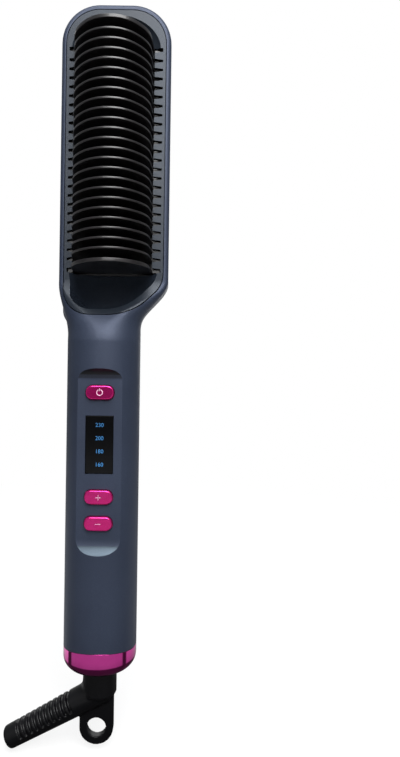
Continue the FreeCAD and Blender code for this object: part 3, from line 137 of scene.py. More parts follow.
@dataclass(frozen=True)
class Finish:
    """One real material: its colours, gloss and the pattern of its surface."""
    name: str
    base: str
    accent: str
    roughness: float
    metallic: float = 0.0
    ior: float = 1.5
    coat: float = 0.0
    coat_roughness: float = 0.04
    grain: Grain = Grain.EVEN
    grain_mm: float = 0.5
    depth_mm: float = 0.01
    cloud_mm: float = 28.0
    specular: float = 0.5

    def material(self) -> bpy.types.Material:
        """Builds the node material once.

        Returns:
            The material, the same one each time.
        """
        found = bpy.data.materials.get(self.name)
        if found:
            return found
        material = bpy.data.materials.new(self.name)
        material.use_nodes = True
        tree = material.node_tree
        tree.nodes.clear()
        place = add_node(tree, "ShaderNodeTexCoord").outputs["Object"]
        stretch = BRUSH_STRETCH if self.grain is Grain.BRUSHED else (1, 1, 1)
        mapped = add_node(tree, "ShaderNodeMapping", {"Scale": stretch}, {"Vector": place})
        fine = add_node(tree, "ShaderNodeTexNoise",
                        {"Scale": 1 / (self.grain_mm * MM), "Detail": GRAIN_DETAIL,
                         "Roughness": GRAIN_ROUGHNESS},
                        {"Vector": mapped.outputs[0]})
        cloud = add_node(tree, "ShaderNodeTexNoise",
                         {"Scale": 1 / (self.cloud_mm * MM), "Detail": CLOUD_DETAIL},
                         {"Vector": place})
        mottle = add_node(tree, "ShaderNodeMath", {"operation": "MULTIPLY"},
                          {0: fine.outputs["Fac"], 1: cloud.outputs["Fac"]})
        colour = self._colour(tree, mottle.outputs[0])
        glossiest, dullest = GLOSS_SPREAD
        gloss = add_node(tree, "ShaderNodeMapRange",
                         {"To Min": self.roughness * glossiest,
                          "To Max": self.roughness * dullest},
                         {"Value": cloud.outputs["Fac"]})
        bump = add_node(tree, "ShaderNodeBump",
                        {"Strength": 1.0, "Distance": self.depth_mm * MM},
                        {"Height": fine.outputs["Fac"]})
        settings = {"Metallic": self.metallic, "IOR": self.ior, "Coat Weight": self.coat,
                    "Coat Roughness": self.coat_roughness,
                    "Specular IOR Level": self.specular}
        if self.grain is Grain.GLOW:
            settings["Emission Color"] = linear(self.accent)
            settings["Emission Strength"] = 1.0
        surface = add_node(tree, "ShaderNodeBsdfPrincipled", settings,
                           {"Base Color": colour, "Roughness": gloss.outputs[0],
                            "Normal": bump.outputs[0]})
        add_node(tree, "ShaderNodeOutputMaterial", {}, {"Surface": surface.outputs[0]})
        return material

    def _colour(self, tree: bpy.types.NodeTree,
                mottle: bpy.types.NodeSocket) -> bpy.types.NodeSocket:
        """Mixes the two tones by the mottle, or by the scales' painted highlight and shade,
        kept as an attribute.

        Args:
            tree: the node tree that gets the nodes.
            mottle: the fine and the wide noise, multiplied.

        Returns:
            The colour socket.
        """
        if self.grain is Grain.FACET:
            # Painted highlight and shade: the tone follows each scale's drop, kept as an
            # attribute
            painted_scale_shade = add_node(tree, "ShaderNodeAttribute", {"attribute_name": "painted_scale_shade"})
            mottle = painted_scale_shade.outputs["Fac"]
            low, high = 0.0, 1.0
        else:
            low, high = MOTTLE_SPREAD
        share = add_node(tree, "ShaderNodeMapRange", {"From Min": low, "From Max": high},
                         {"Value": mottle})
        tones = add_node(tree, "ShaderNodeValToRGB", {}, {"Fac": share.outputs[0]})
        tones.color_ramp.elements[0].color = linear(self.base)
        tones.color_ramp.elements[1].color = linear(self.accent)
        return tones.outputs[0]


# Satin metallic paint on ABS: soft wide highlights. Its flakes, some 0.03 mm across, are
# drawn at 0.35 mm, or they wouldn't show
GRAPHITE = Finish("satin graphite paint on ABS", "#2C3446", "#343D50", 0.52, metallic=0.4,
                  grain_mm=0.35, depth_mm=0.002)
# The same paint as a lit copy, a painted highlight for the recess's lower hollow where it tips
# up to the light: brighter, tighter
GRAPHITE_PAINTED_HIGHLIGHT = Finish("painted_highlight graphite paint on ABS", "#38424B", "#434E58", 0.36, metallic=0.75,
                   grain_mm=0.35, depth_mm=0.002)
# The bezel's ABS, painted a darker graphite: dim, with narrower highlights than the shells
BEZEL = Finish("satin graphite ABS bezel", "#151D27", "#1E2732", 0.40, metallic=0.35,
               grain_mm=0.35, depth_mm=0.002)
# The bezel's bowl, painted over a polished part of the mould: it mirrors the room softly
BOWL = Finish("glossy graphite ABS", "#2A313C", "#323A47", 0.24, metallic=0.6,
              grain_mm=0.8, depth_mm=0.002)
# Painted shade for the upper hollow of the recess, a darker copy of the paint: darker as it
# dips
GRAPHITE_PAINTED_SHADE = Finish("satin graphite ABS", "#1D222F", "#242A38", 0.46, metallic=0.3,
                     grain_mm=0.8, depth_mm=0.002)
# Deeper painted shade for the bottom of that hollow: black, with a weak sheen
GRAPHITE_PAINTED_DEEP_SHADE = Finish("satin dark ABS", "#0C0E13", "#12151B", 0.42, specular=0.3, grain_mm=0.8,
                depth_mm=0.002)
# Painted shade on the walls of the slots, which lie in shade between the fins: dull and nearly
# black
SLOT_PAINTED_SHADE = Finish("dark ABS as cut in the slots", "#06070A", "#0A0B10", 0.7, specular=0.2)
# Ceramic coat on cast aluminium: near black, with a silky gloss on its thin edges
COMB_COAT = Finish("black ceramic coat on aluminium", "#110F11", "#1A1719", 0.34, coat=0.25,
                   grain_mm=0.3, depth_mm=0.004)
# Electroplated ABS under a magenta lacquer: a tinted mirror with slight moulding waves
MAGENTA = Finish("magenta plated ABS", "#D2449E", "#DC52A8", 0.06, metallic=1.0,
                 grain_mm=6.0, depth_mm=0.010)
# The same plating under a satin lacquer: the small caps glow evenly and mirror little
BUTTON_PLATE = Finish("magenta plated button caps", "#CC1A74", "#D82682", 0.20, metallic=0.8,
                      grain_mm=3.0, depth_mm=0.006, coat=0.3, coat_roughness=0.16)
# Pearl lacquer over moulded diamond scales, with painted highlight and shade: each scale
# painted paler towards its raised lower tip and darker as its face drops
PEARL = Finish("pearl lacquer on diamond scales", "#56617A", "#8E9AAC", 0.36, metallic=0.3,
               grain=Grain.FACET, grain_mm=0.3, depth_mm=0.002, coat=0.1)
# Polished smoked acrylic: black, with clear reflections
SMOKED = Finish("smoked acrylic window", "#050506", "#08080A", 0.06, ior=1.49, specular=0.25,
                grain_mm=4.0, depth_mm=0.001)
# Light of blue LEDs behind the window: even, with no shading of its own
LED_BLUE = Finish("blue LED figures", "#10324F", "#3370A6", 0.4, grain=Grain.GLOW)
# Pale pink paint for the marks, set flush in the caps, a painted highlight standing in for the
# light that engraved marks catch: flat, with a faint sheen
MARK_PAINTED_HIGHLIGHT = Finish("pale pink mark paint", "#E9B7D2", "#F3CBE0", 0.35, grain_mm=1.0)
# Moulded PVC: matt black with a fine spark-eroded grain, drawn coarser to show
TAIL_PVC = Finish("matt black PVC", "#060608", "#0A0A0D", 0.36, grain_mm=0.45, depth_mm=0.006,
                  specular=0.3)
# Fired ceramic: chalky and without gloss
CERAMIC = Finish("fired ceramic", "#D8D3C6", "#E6E2D8", 0.7, grain_mm=0.6)
# Cast polyimide film: amber and glossy
POLYIMIDE = Finish("polyimide film", "#A5651E", "#B97A2C", 0.25, grain_mm=2.0)
# Cold-rolled steel: fine lines along the strip
SPRING_STEEL = Finish("rolled spring steel", "#8F9194", "#A9ABAE", 0.35, metallic=1.0,
                      grain=Grain.BRUSHED)
# Moulded PPS: ivory, slightly waxy
HEAT_PLASTIC = Finish("heat-resistant PPS", "#CFCBC1", "#DAD7CE", 0.55, grain_mm=0.8)
# Zinc plating on turned steel: bright, a little cloudy
ZINC = Finish("zinc plated steel", "#9A9DA1", "#B4B7BA", 0.3, metallic=1.0, grain_mm=1.0)
# Transfer-moulded epoxy: black and dull, from an eroded mould
EPOXY = Finish("moulded epoxy", "#121213", "#1C1C1E", 0.5, grain_mm=0.3)
# Deep-drawn aluminium: fine lines along the draw
DRAWN_CASE = Finish("drawn aluminium case", "#B9BBBE", "#C8CACD", 0.3, metallic=1.0,
                    grain=Grain.BRUSHED)
# Extruded silicone: even red with a soft sheen
SILICONE = Finish("silicone lead insulation", "#B5261F", "#C4382E", 0.5, grain_mm=1.5)
# Solder mask cured over glass epoxy: glossy green
SOLDER_MASK = Finish("green solder mask on glass epoxy", "#0F4A26", "#176034", 0.3,
                     grain_mm=2.0)
# Moulded nylon: satin black
SWITCH_NYLON = Finish("black nylon", "#141414", "#1F1F1F", 0.45)
# Moulded polyester: satin yellow
CAPACITOR_BOX = Finish("yellow polyester box", "#B9952A", "#C7A53B", 0.45)
# Moulded polyamide: satin green
TERMINAL_NYLON = Finish("green polyamide", "#1B6A39", "#257A46", 0.45)
# Drawn glass of a fuse: pale and very glossy, left opaque since nothing is seen through it
FUSE_GLASS = Finish("clear fuse tube", "#C9D2D2", "#DDE4E4", 0.08, ior=1.52, coat=0.5)
# Drawn brass: warm metal with fine lines along the rod
BRASS = Finish("drawn brass", "#B08D45", "#C9A65C", 0.28, metallic=1.0, grain=Grain.BRUSHED)
# Cast epoxy of an LED: pale blue and glossy
CLEAR_LENS = Finish("clear LED epoxy", "#BFD0E2", "#D5E1EE", 0.15)

SLOT_FINISHES = {
    "graphite_shell": GRAPHITE, "comb_coating": COMB_COAT, "ptc_ceramic": CERAMIC,
    "polyimide": POLYIMIDE, "spring_steel": SPRING_STEEL, "insulator": HEAT_PLASTIC,
    "screw_steel": ZINC, "epoxy_black": EPOXY, "fuse_metal": DRAWN_CASE,
    "silicone_lead": SILICONE, "magenta_plating": MAGENTA, "pearl_plate": PEARL,
    "smoked_window": SMOKED, "led_body": CLEAR_LENS, "circuit_board": SOLDER_MASK,
    "switch_black": SWITCH_NYLON, "capacitor_box": CAPACITOR_BOX,
    "terminal_green": TERMINAL_NYLON, "fuse_glass": FUSE_GLASS, "contact_brass": BRASS,
    "tail_rubber": TAIL_PVC,
}


# ------------------------------------------------------------------------------------------
# Modelling helpers
# ------------------------------------------------------------------------------------------
def focus(piece: bpy.types.Object) -> None:
    """Selects one piece alone and makes it active."""
    bpy.ops.object.select_all(action="DESELECT")
    piece.select_set(True)
    bpy.context.view_layer.objects.active = piece


def start(primitive: str, name: str, **settings: object) -> bpy.types.Object:
    """Adds a mesh primitive with nothing else selected.

    Args:
        primitive: the shape, as in bpy.ops.mesh.primitive_cube_add.
        name: the new piece's name.
        settings: the operator's settings.

    Returns:
        The new object, active and alone in the selection.
    """
    bpy.ops.object.select_all(action="DESELECT")
    getattr(bpy.ops.mesh, f"primitive_{primitive}_add")(**settings)
    piece = bpy.context.object
    piece.name = name
    piece.data.name = name
    return piece


def settle(piece: bpy.types.Object) -> bpy.types.Object:
    """Moves a piece's place, turn and scale into its mesh and returns it."""
    focus(piece)
    bpy.ops.object.transform_apply(location=True, rotation=True, scale=True)
    return piece


def select_edges(piece: bpy.types.Object, wanted: Callable[[Vector], bool]) -> None:
    """Selects edges of a piece and leaves it in edit mode.

    Args:
        piece: the piece, in object mode when this is called.
        wanted: says from the place of an edge's middle whether the edge is selected.
    """
    focus(piece)
    bpy.ops.object.mode_set(mode="EDIT")
    bpy.ops.mesh.select_mode(type="EDGE")
    bpy.ops.mesh.select_all(action="DESELECT")
    bpy.ops.object.mode_set(mode="OBJECT")
    mesh = piece.data
    for edge in mesh.edges:
        ends = [mesh.vertices[i].co for i in edge.vertices]
        edge.select = wanted((ends[0] + ends[1]) / 2)
    bpy.ops.object.mode_set(mode="EDIT")


def apply_modifier(piece: bpy.types.Object, kind: str, **settings: object) -> None:
    """Adds a modifier and applies it at once.

    Args:
        piece: the piece to change.
        kind: the modifier's type.
        settings: the modifier's settings.
    """
    focus(piece)
    modifier = piece.modifiers.new(kind.lower(), kind)
    for key, setting in settings.items():
        setattr(modifier, key, setting)
    bpy.ops.object.modifier_apply(modifier=modifier.name)


def soften(piece: bpy.types.Object, width_mm: float, segments: int = 2,
           degrees: float = 32.0) -> None:
    """Rounds a piece's sharp edges with a bevel.

    Args:
        piece: the piece to round.
        width_mm: the width of the rounding.
        segments: how many faces the rounding has across.
        degrees: edges that turn by more than this are rounded.
    """
    apply_modifier(piece, "BEVEL", width=width_mm * MM, segments=segments,
                   limit_method="ANGLE", angle_limit=math.radians(degrees),
                   use_clamp_overlap=True, miter_outer="MITER_ARC")


def shade(piece: bpy.types.Object, degrees: float = 40.0) -> None:
    """Smooths a piece's shading, led by its larger faces.

    Args:
        piece: the piece to shade.
        degrees: edges that turn by more than this stay sharp.
    """
    focus(piece)
    bpy.ops.object.shade_smooth_by_angle(angle=math.radians(degrees))
    apply_modifier(piece, "WEIGHTED_NORMAL", keep_sharp=True, weight=NORMAL_WEIGHT)


def face_outwards(piece: bpy.types.Object) -> None:
    """Merges a piece's doubles and turns its faces outwards."""
    focus(piece)
    bpy.ops.object.mode_set(mode="EDIT")
    bpy.ops.mesh.select_all(action="SELECT")
    bpy.ops.mesh.remove_doubles(threshold=BUILT_MERGE_MM * MM)
    bpy.ops.mesh.normals_make_consistent(inside=False)
    bpy.ops.object.mode_set(mode="OBJECT")


def carve(piece: bpy.types.Object, tool: bpy.types.Object,
          operation: str = "DIFFERENCE") -> None:
    """Cuts a piece by a tool and removes the tool.

    Args:
        piece: the piece to cut.
        tool: the closed shape that cuts it.
        operation: DIFFERENCE, or INTERSECT to keep what both share.
    """
    apply_modifier(piece, "BOOLEAN", object=tool, operation=operation, solver="EXACT")
    bpy.data.objects.remove(tool)


def join(pieces: list[bpy.types.Object], name: str) -> bpy.types.Object:
    """Joins pieces into the first of them.

    Args:
        pieces: the pieces, of which only the first is left.
        name: the joined piece's name.

    Returns:
        The joined piece.
    """
    bpy.ops.object.select_all(action="DESELECT")
    for piece in pieces:
        piece.select_set(True)
    bpy.context.view_layer.objects.active = pieces[0]
    bpy.ops.object.join()
    pieces[0].name = name
    pieces[0].data.name = name
    return pieces[0]


def merged_copy(node: str, name: str) -> bpy.types.Object:
    """Copies a frame node's mesh and merges its loose triangles into clean faces.

    Args:
        node: the frame node's name.
        name: the copy's name.

    Returns:
        The copy, without materials.
    """
    source = frame["nodes"][node]
    piece = bpy.data.objects.new(name, source.data.copy())
    piece.data.name = name
    piece.data.materials.clear()
    bpy.context.collection.objects.link(piece)
    focus(piece)
    bpy.ops.object.mode_set(mode="EDIT")
    bpy.ops.mesh.select_all(action="SELECT")
    bpy.ops.mesh.remove_doubles(threshold=LOADED_MERGE_MM * MM)
    bpy.ops.mesh.dissolve_limited(angle_limit=math.radians(FLAT_DEGREES))
    bpy.ops.object.mode_set(mode="OBJECT")
    return piece


def paint(piece: bpy.types.Object, finishes: tuple[Finish, ...],
          choose: Callable[[bpy.types.MeshPolygon], Finish]) -> None:
    """Gives each face of a piece one of several finishes.

    Args:
        piece: a piece without materials.
        finishes: every finish that choose can return, the main one first.
        choose: says which finish a face has.
    """
    for finish in finishes:
        piece.data.materials.append(finish.material())
    for face in piece.data.polygons:
        face.material_index = finishes.index(choose(face))


def dress(piece: bpy.types.Object, finish: Finish, body: str,
          nodes: tuple[str, ...] = ()) -> bpy.types.Object:
    """Gives a piece its material, its body and the nodes that it replaces.

    Args:
        piece: the finished piece, at the origin.
        finish: the piece's main finish, which a painted piece has already.
        body: the body that the piece rides on.
        nodes: frame nodes that the piece stands for.

    Returns:
        The piece.
    """
    if not piece.data.materials:
        piece.data.materials.append(finish.material())
    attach(piece, body)
    if nodes:
        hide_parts(*nodes)
    log.info("%s: %d faces, %s", piece.name, len(piece.data.polygons), finish.name)
    return piece


# ------------------------------------------------------------------------------------------
# Sub-assemblies
# ------------------------------------------------------------------------------------------
@dataclass
class Housing:
    """The two painted shells of handle, neck and head.

    The panel's recess runs out in a hollow at either end, with light and shade painted in: a
    brighter copy of the paint where the lower one tips up to the light, darker copies where the
    upper one dips into shade. A face belongs to a hollow by its place and by how far it tips up
    (the lower one) or down (the upper one).
    """
    edge_mm: float = 0.30
    seam_mm: float = 0.18
    recess_half_mm: float = 9.0
    recess_back_mm: float = -9.0
    recess_low_mm: tuple[float, float] = (-31.0, 5.4)
    recess_high_mm: tuple[float, float] = (43.0, 58.0)
    slope_up: float = 0.36
    slope_down: float = -0.16
    slope_deep: float = -0.42

    def build(self) -> None:
        """Builds both shells with softened edges, and paints light and shade into the recess's
        hollows.
        """
        for node, width in (("front_shell", self.edge_mm), ("back_shell", self.seam_mm)):
            shell = merged_copy(node, f"painted_{node}")
            soften(shell, width)
            shade(shell)
            if node == "front_shell":
                # Painted highlight in the lower hollow, painted shade in the upper one
                paint(shell, (GRAPHITE, GRAPHITE_PAINTED_HIGHLIGHT, GRAPHITE_PAINTED_SHADE, GRAPHITE_PAINTED_DEEP_SHADE), self._finish_of)
            dress(shell, GRAPHITE, HOUSING, (node,))

    def _finish_of(self, face: bpy.types.MeshPolygon) -> Finish:
        """A painted highlight where the lower hollow tips up, painted shade ever darker in the
        upper one as it dips.
        """
        place, rise = face.center / MM, face.normal.z
        if abs(place.x) > self.recess_half_mm or place.y > self.recess_back_mm:
            return GRAPHITE
        if self.recess_low_mm[0] < place.z < self.recess_low_mm[1] and rise > self.slope_up:
            return GRAPHITE_PAINTED_HIGHLIGHT
        if self.recess_high_mm[0] < place.z < self.recess_high_mm[1] and rise < self.slope_down:
            return GRAPHITE_PAINTED_DEEP_SHADE if rise < self.slope_deep else GRAPHITE_PAINTED_SHADE
        return GRAPHITE


@dataclass
class CombBezel:
    """The slotted surround of the comb, with a bowl at each end.

    The lower bowl is the part of an ellipsoid that lies below the ellipsoid's middle.
    """
    edge_mm: float = 0.15
    bowl_middle_mm: tuple[float, float, float] = (3.8, -8.0, 93.35)
    bowl_half_mm: tuple[float, float, float] = (22.0, 11.0, 24.0)
    bowl_skin: float = 0.03
    comb_ends_mm: tuple[float, float] = (91.0, 194.0)
    steep: float = 0.5

    def build(self) -> None:
        """Builds the bezel, with its lower bowl glossy and painted shade on its slots' walls.
        """
        bezel = merged_copy("comb_bezel", "slotted_comb_bezel")
        soften(bezel, self.edge_mm)
        shade(bezel)

        def finish_of(face: bpy.types.MeshPolygon) -> Finish:
            if self._in_bowl(bezel, face):
                return BOWL
            # The walls of the slots and of the comb's window get painted shade
            return SLOT_PAINTED_SHADE if self._in_slot(face) else BEZEL

        paint(bezel, (BEZEL, BOWL, SLOT_PAINTED_SHADE), finish_of)
        dress(bezel, BEZEL, HOUSING, ("comb_bezel",))

    def _in_bowl(self, bezel: bpy.types.Object, face: bpy.types.MeshPolygon) -> bool:
        """Whether a face lies in the lower bowl, with every corner on the ellipsoid."""
        if face.center.z / MM >= self.bowl_middle_mm[2]:
            return False
        corners = [bezel.data.vertices[i].co / MM for i in face.vertices]
        return all(abs(sum(((place - middle) / half) ** 2 for place, middle, half
                           in zip(corner, self.bowl_middle_mm, self.bowl_half_mm)) - 1)
                   < self.bowl_skin for corner in corners)

    def _in_slot(self, face: bpy.types.MeshPolygon) -> bool:
        """Whether a face is a wall of a slot or of the comb's window."""
        low, high = self.comb_ends_mm
        return low < face.center.z / MM < high and abs(face.normal.y) < self.steep


@dataclass
class HeatingComb:
    """The coated comb: a row of thin arched fins on a base plate."""
    edge_mm: float = 0.24
    edge_segments: int = 3
    smooth_degrees: float = 35.0

    def build(self) -> None:
        """Builds the comb with rounded fin edges."""
        comb = merged_copy("heating_comb", "finned_comb")
        soften(comb, self.edge_mm, self.edge_segments)
        shade(comb, self.smooth_degrees)
        dress(comb, COMB_COAT, HOUSING, ("heating_comb",))


@dataclass
class DiamondPlate:
    """The back plate, moulded in overlapping diamond scales.

    A scale spans one step of u, up to the right, and one of v, up to the left. Its face
    drops from its lower tip by u and v, and jumps back up over the thin step between scales.
    """
    diamond_width_mm: float = 9.7
    diamond_height_mm: float = 15.9
    tip_x_mm: float = 5.5
    tip_z_mm: float = 114.5
    relief_mm: float = 0.75
    sink_mm: float = 0.02
    step: float = 0.03
    inner_shares: tuple[float, ...] = (0.2, 0.4, 0.6, 0.8)
    reach: int = 11
    # The drop at which a scale's painted shade is darkest
    darkest_painted_drop: float = 1.6
    fade_from_mm: tuple[float, float] = (3.3, 120.0)
    fade_over_mm: tuple[float, float] = (40.0, 90.0)
    fade_most: float = 0.85
    overshoot_mm: float = 1.0
    smooth_degrees: float = 28.0

    def build(self) -> None:
        """Builds the scales as one sheet and trims it to the plate's outline."""
        low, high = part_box("back_plate")
        shares = (self.step, *self.inner_shares, 1 - self.step)
        lines = [i + share for i in range(-self.reach, self.reach) for share in shares]
        count = len(lines) - 1
        sheet = start("grid", "diamond_scale_plate", x_subdivisions=count,
                      y_subdivisions=count, size=count)
        painted_scale_shade = sheet.data.attributes.new("painted_scale_shade", "FLOAT", "POINT")
        for vertex in sheet.data.vertices:
            u = lines[round(vertex.co.x + count / 2)]
            v = lines[round(vertex.co.y + count / 2)]
            x = self.tip_x_mm + (u - v) * self.diamond_width_mm / 2
            z = self.tip_z_mm + (u + v) * self.diamond_height_mm / 2
            drop = (u % 1) + self._fade(x, z) * (v % 1)
            vertex.co = Vector((x, 0, z)) * MM
            vertex.co.y = high.y - self.sink_mm * MM - self.relief_mm * MM * drop / 2
            # Painted highlight and shade: paler where the scale's face stands highest, at its
            # lower tip
            painted_scale_shade.data[vertex.index].value = 1 - min(1.0, drop / self.darkest_painted_drop)
        focus(sheet)
        bpy.ops.object.mode_set(mode="EDIT")
        bpy.ops.mesh.select_all(action="SELECT")
        bpy.ops.mesh.extrude_region_move(TRANSFORM_OT_translate={
            "value": (0, low.y - high.y, 0)})
        bpy.ops.object.mode_set(mode="OBJECT")
        face_outwards(sheet)
        trim = merged_copy("back_plate", "plate_trim")
        for vertex in trim.data.vertices:
            if vertex.co.y > (low.y + high.y) / 2:
                vertex.co.y += self.overshoot_mm * MM
        carve(sheet, trim, "INTERSECT")
        shade(sheet, self.smooth_degrees)
        sheet.data.materials.clear()
        dress(sheet, PEARL, HOUSING, ("back_plate",))

    def _fade(self, x_mm: float, z_mm: float) -> float:
        """How strongly the steps along v show: less towards the tip's +X corner.

        Args:
            x_mm: the place along X.
            z_mm: the place along Z.

        Returns:
            The share of the full drop.
        """
        share = ((z_mm - self.fade_from_mm[1]) / self.fade_over_mm[1]
                 + (x_mm - self.fade_from_mm[0]) / self.fade_over_mm[0])
        return 1 - self.fade_most * min(1.0, max(0.0, share))


@dataclass
class TrimFrame:
    """The plated frame round the diamond plate."""
    edge_mm: float = 0.25
    edge_segments: int = 3
    edge_degrees: float = 25.0
    smooth_degrees: float = 50.0

    def build(self) -> None:
        """Builds the frame with softened edges."""
        trim = merged_copy("back_trim_frame", "plated_back_frame")
        soften(trim, self.edge_mm, self.edge_segments, self.edge_degrees)
        shade(trim, self.smooth_degrees)
        dress(trim, MAGENTA, HOUSING, ("back_trim_frame",))


@dataclass
class ControlPanel:
    """Buttons, window and the lit temperature figures."""
    edge_mm: float = 0.25
    pill_mm: Vector = field(default_factory=lambda: Vector((11.8, 1.5, 5.9)))
    corner_mm: float = 2.7
    corner_segments: int = 8
    rim_mm: float = 0.6
    rim_segments: int = 4
    rim_degrees: float = 60.0
    trim_mm: float = 0.8
    cutter_depth_mm: float = 2.0
    smooth_degrees: float = 45.0
    mark_mm: float = 2.4
    stroke_mm: float = 0.4
    stroke_edge_mm: float = 0.08
    mark_depth_mm: float = 0.25
    ring_segments: tuple[int, int] = (48, 10)
    ring_opening_mm: tuple[float, float, float] = (0.9, 2.0, 1.6)
    figures: tuple[str, ...] = ("160", "180", "200", "230")
    first_figure_mm: float = 9.5
    figure_step_mm: float = 5.55
    figure_height_mm: float = 1.65
    figure_depth_mm: float = 0.04
    height_of_size: float = 0.7
    curve_steps: int = 3

    def build(self) -> None:
        """Builds the three caps, the window and the figures."""
        for name in ("power_button", "plus_button", "minus_button"):
            low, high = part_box(name)
            middle = Vector((0, low.y / MM, (low.z + high.z) / 2 / MM))
            dress(self._cap(name, middle), BUTTON_PLATE, name, (name,))
            marks = self._power_mark(middle) if name == "power_button" else [
                self._bar(f"{name}_bar", middle, (self.mark_mm, self.stroke_mm))]
            if name == "plus_button":
                marks.append(self._bar("plus_upright", middle, (self.stroke_mm, self.mark_mm)))
            # The marks' pale paint is a painted highlight, standing in for the light that
            # engraved marks catch
            dress(join(marks, f"{name}_mark"), MARK_PAINTED_HIGHLIGHT, name)
        window = merged_copy("display_window", "smoked_display_window")
        soften(window, self.edge_mm)
        shade(window)
        dress(window, SMOKED, HOUSING, ("display_window",))
        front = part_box("display_window")[0].y
        rows = [self._figure(text, front, self.first_figure_mm + i * self.figure_step_mm)
                for i, text in enumerate(self.figures)]
        dress(join(rows, "temperature_figures"), LED_BLUE, HOUSING)

    def _cap(self, name: str, middle: Vector) -> bpy.types.Object:
        """Builds one button: the moulded stem and flange behind a pill with a round rim.

        Args:
            name: the button's node.
            middle: the middle of its front face, in mm.

        Returns:
            The cap as one piece.
        """
        stem = merged_copy(name, f"plated_{name}")
        reach = self.pill_mm.x * 2
        front = start("cube", "cap_front", size=1,
                      scale=Vector((reach, self.cutter_depth_mm, reach)) * MM,
                      location=(middle + Vector(
                          (0, self.trim_mm - self.cutter_depth_mm / 2, 0))) * MM)
        settle(front)
        carve(stem, front)
        pill = start("cube", "pill", size=1, scale=self.pill_mm * MM,
                     location=(middle + Vector((0, self.pill_mm.y / 2, 0))) * MM)
        settle(pill)
        across, up = self.pill_mm.x / 2, self.pill_mm.z / 2

        def on_corner(place: Vector) -> bool:
            offset = place / MM - middle
            return (abs(abs(offset.x) - across) < ON_CORNER_MM
                    and abs(abs(offset.z) - up) < ON_CORNER_MM)

        select_edges(pill, on_corner)
        bpy.ops.mesh.bevel(offset=self.corner_mm * MM, segments=self.corner_segments,
                           affect="EDGES")
        bpy.ops.object.mode_set(mode="OBJECT")
        soften(pill, self.rim_mm, self.rim_segments, self.rim_degrees)
        cap = join([stem, pill], f"plated_{name}")
        shade(cap, self.smooth_degrees)
        return cap

    def _bar(self, name: str, middle: Vector, size: tuple[float, float]) -> bpy.types.Object:
        """Builds one stroke of a mark, set flush into a cap's face, whose pale paint is a
        painted highlight.

        Args:
            name: the stroke's name.
            middle: its middle on the face, in mm.
            size: its width and height in mm.

        Returns:
            The stroke, settled.
        """
        depth = self.mark_depth_mm
        bar = start("cube", name, size=1, location=(middle + Vector((0, depth / 2, 0))) * MM,
                    scale=Vector((size[0], depth, size[1])) * MM)
        settle(bar)
        soften(bar, self.stroke_edge_mm)
        return bar

    def _power_mark(self, middle: Vector) -> list[bpy.types.Object]:
        """Builds a power mark: a ring that is open at the top, and a stroke in the opening.

        Args:
            middle: the ring's middle on the cap's face, in mm.

        Returns:
            The ring and the stroke, settled.
        """
        around, across = self.ring_segments
        ring = start("torus", "power_ring", major_radius=self.mark_mm / 2 * MM,
                     minor_radius=self.stroke_mm / 2 * MM, major_segments=around,
                     minor_segments=across, location=middle * MM,
                     rotation=(math.pi / 2, 0, 0))
        settle(ring)
        opening = start("cube", "ring_opening", size=1, scale=Vector(self.ring_opening_mm) * MM,
                        location=(middle + Vector((0, 0, self.mark_mm / 2))) * MM)
        settle(opening)
        carve(ring, opening)
        stroke = self._bar("power_stroke", middle + Vector((0, 0, self.mark_mm / 2)),
                           (self.stroke_mm, self.mark_mm / 2))
        return [ring, stroke]

    def _figure(self, text: str, front: float, level_mm: float) -> bpy.types.Object:
        """Builds one temperature as thin raised figures on the window.

        Args:
            text: the figures.
            front: the window's front face along Y, in metres.
            level_mm: the middle of the figures above the origin.

        Returns:
            The figures as a mesh, settled.
        """
        bpy.ops.object.select_all(action="DESELECT")
        bpy.ops.object.text_add(
            location=(0, front, level_mm * MM), rotation=(math.pi / 2, 0, 0))
        words = bpy.context.object
        words.name = f"figure_{text}"
        words.data.body = text
        words.data.align_x = "CENTER"
        words.data.align_y = "CENTER"
        words.data.size = self.figure_height_mm * MM / self.height_of_size
        words.data.extrude = self.figure_depth_mm / 2 * MM
        words.data.resolution_u = self.curve_steps
        bpy.ops.object.convert(target="MESH")
        return settle(bpy.context.object)


@dataclass
class EndRing:
    """The plated cup at the end of the handle."""
    edge_mm: float = 0.2
    edge_segments: int = 3
    smooth_degrees: float = 45.0

    def build(self) -> None:
        """Builds the ring with softened edges."""
        ring = merged_copy("end_ring", "plated_end_ring")
        soften(ring, self.edge_mm, self.edge_segments)
        shade(ring, self.smooth_degrees)
        dress(ring, MAGENTA, HOUSING, ("end_ring",))


@dataclass
class CordTail:
    """The rubber tail: neck, loop and ribbed boot in one soft moulding.

    The knee is where the boot leaves the loop, which the mould rounds most.
    """
    voxel_mm: float = 0.30
    smooth_share: float = 0.5
    rounds: int = 4
    knee_mm: tuple[float, float, float] = (-7.5, 0, -89.0)
    knee_reach_mm: float = 9.0
    knee_gain: float = 2.0
    knee_rounds: int = 160
    smooth_degrees: float = 60.0

    def build(self) -> None:
        """Builds the tail as one skin whose edges are rounded as a mould rounds them."""
        tail = merged_copy("cord_tail", "moulded_cord_tail")
        apply_modifier(tail, "REMESH", mode="VOXEL", voxel_size=self.voxel_mm * MM)
        apply_modifier(tail, "SMOOTH", factor=self.smooth_share, iterations=self.rounds)
        knee = tail.vertex_groups.new(name="knee")
        for vertex in tail.data.vertices:
            gap = (vertex.co / MM - Vector(self.knee_mm)).length / self.knee_reach_mm
            if gap < 1:
                knee.add([vertex.index], min(1.0, self.knee_gain * (1 - gap)), "REPLACE")
        apply_modifier(tail, "SMOOTH", factor=self.smooth_share, iterations=self.knee_rounds,
                       vertex_group="knee")
        shade(tail, self.smooth_degrees)
        dress(tail, TAIL_PVC, "cord_swivel", ("cord_tail",))


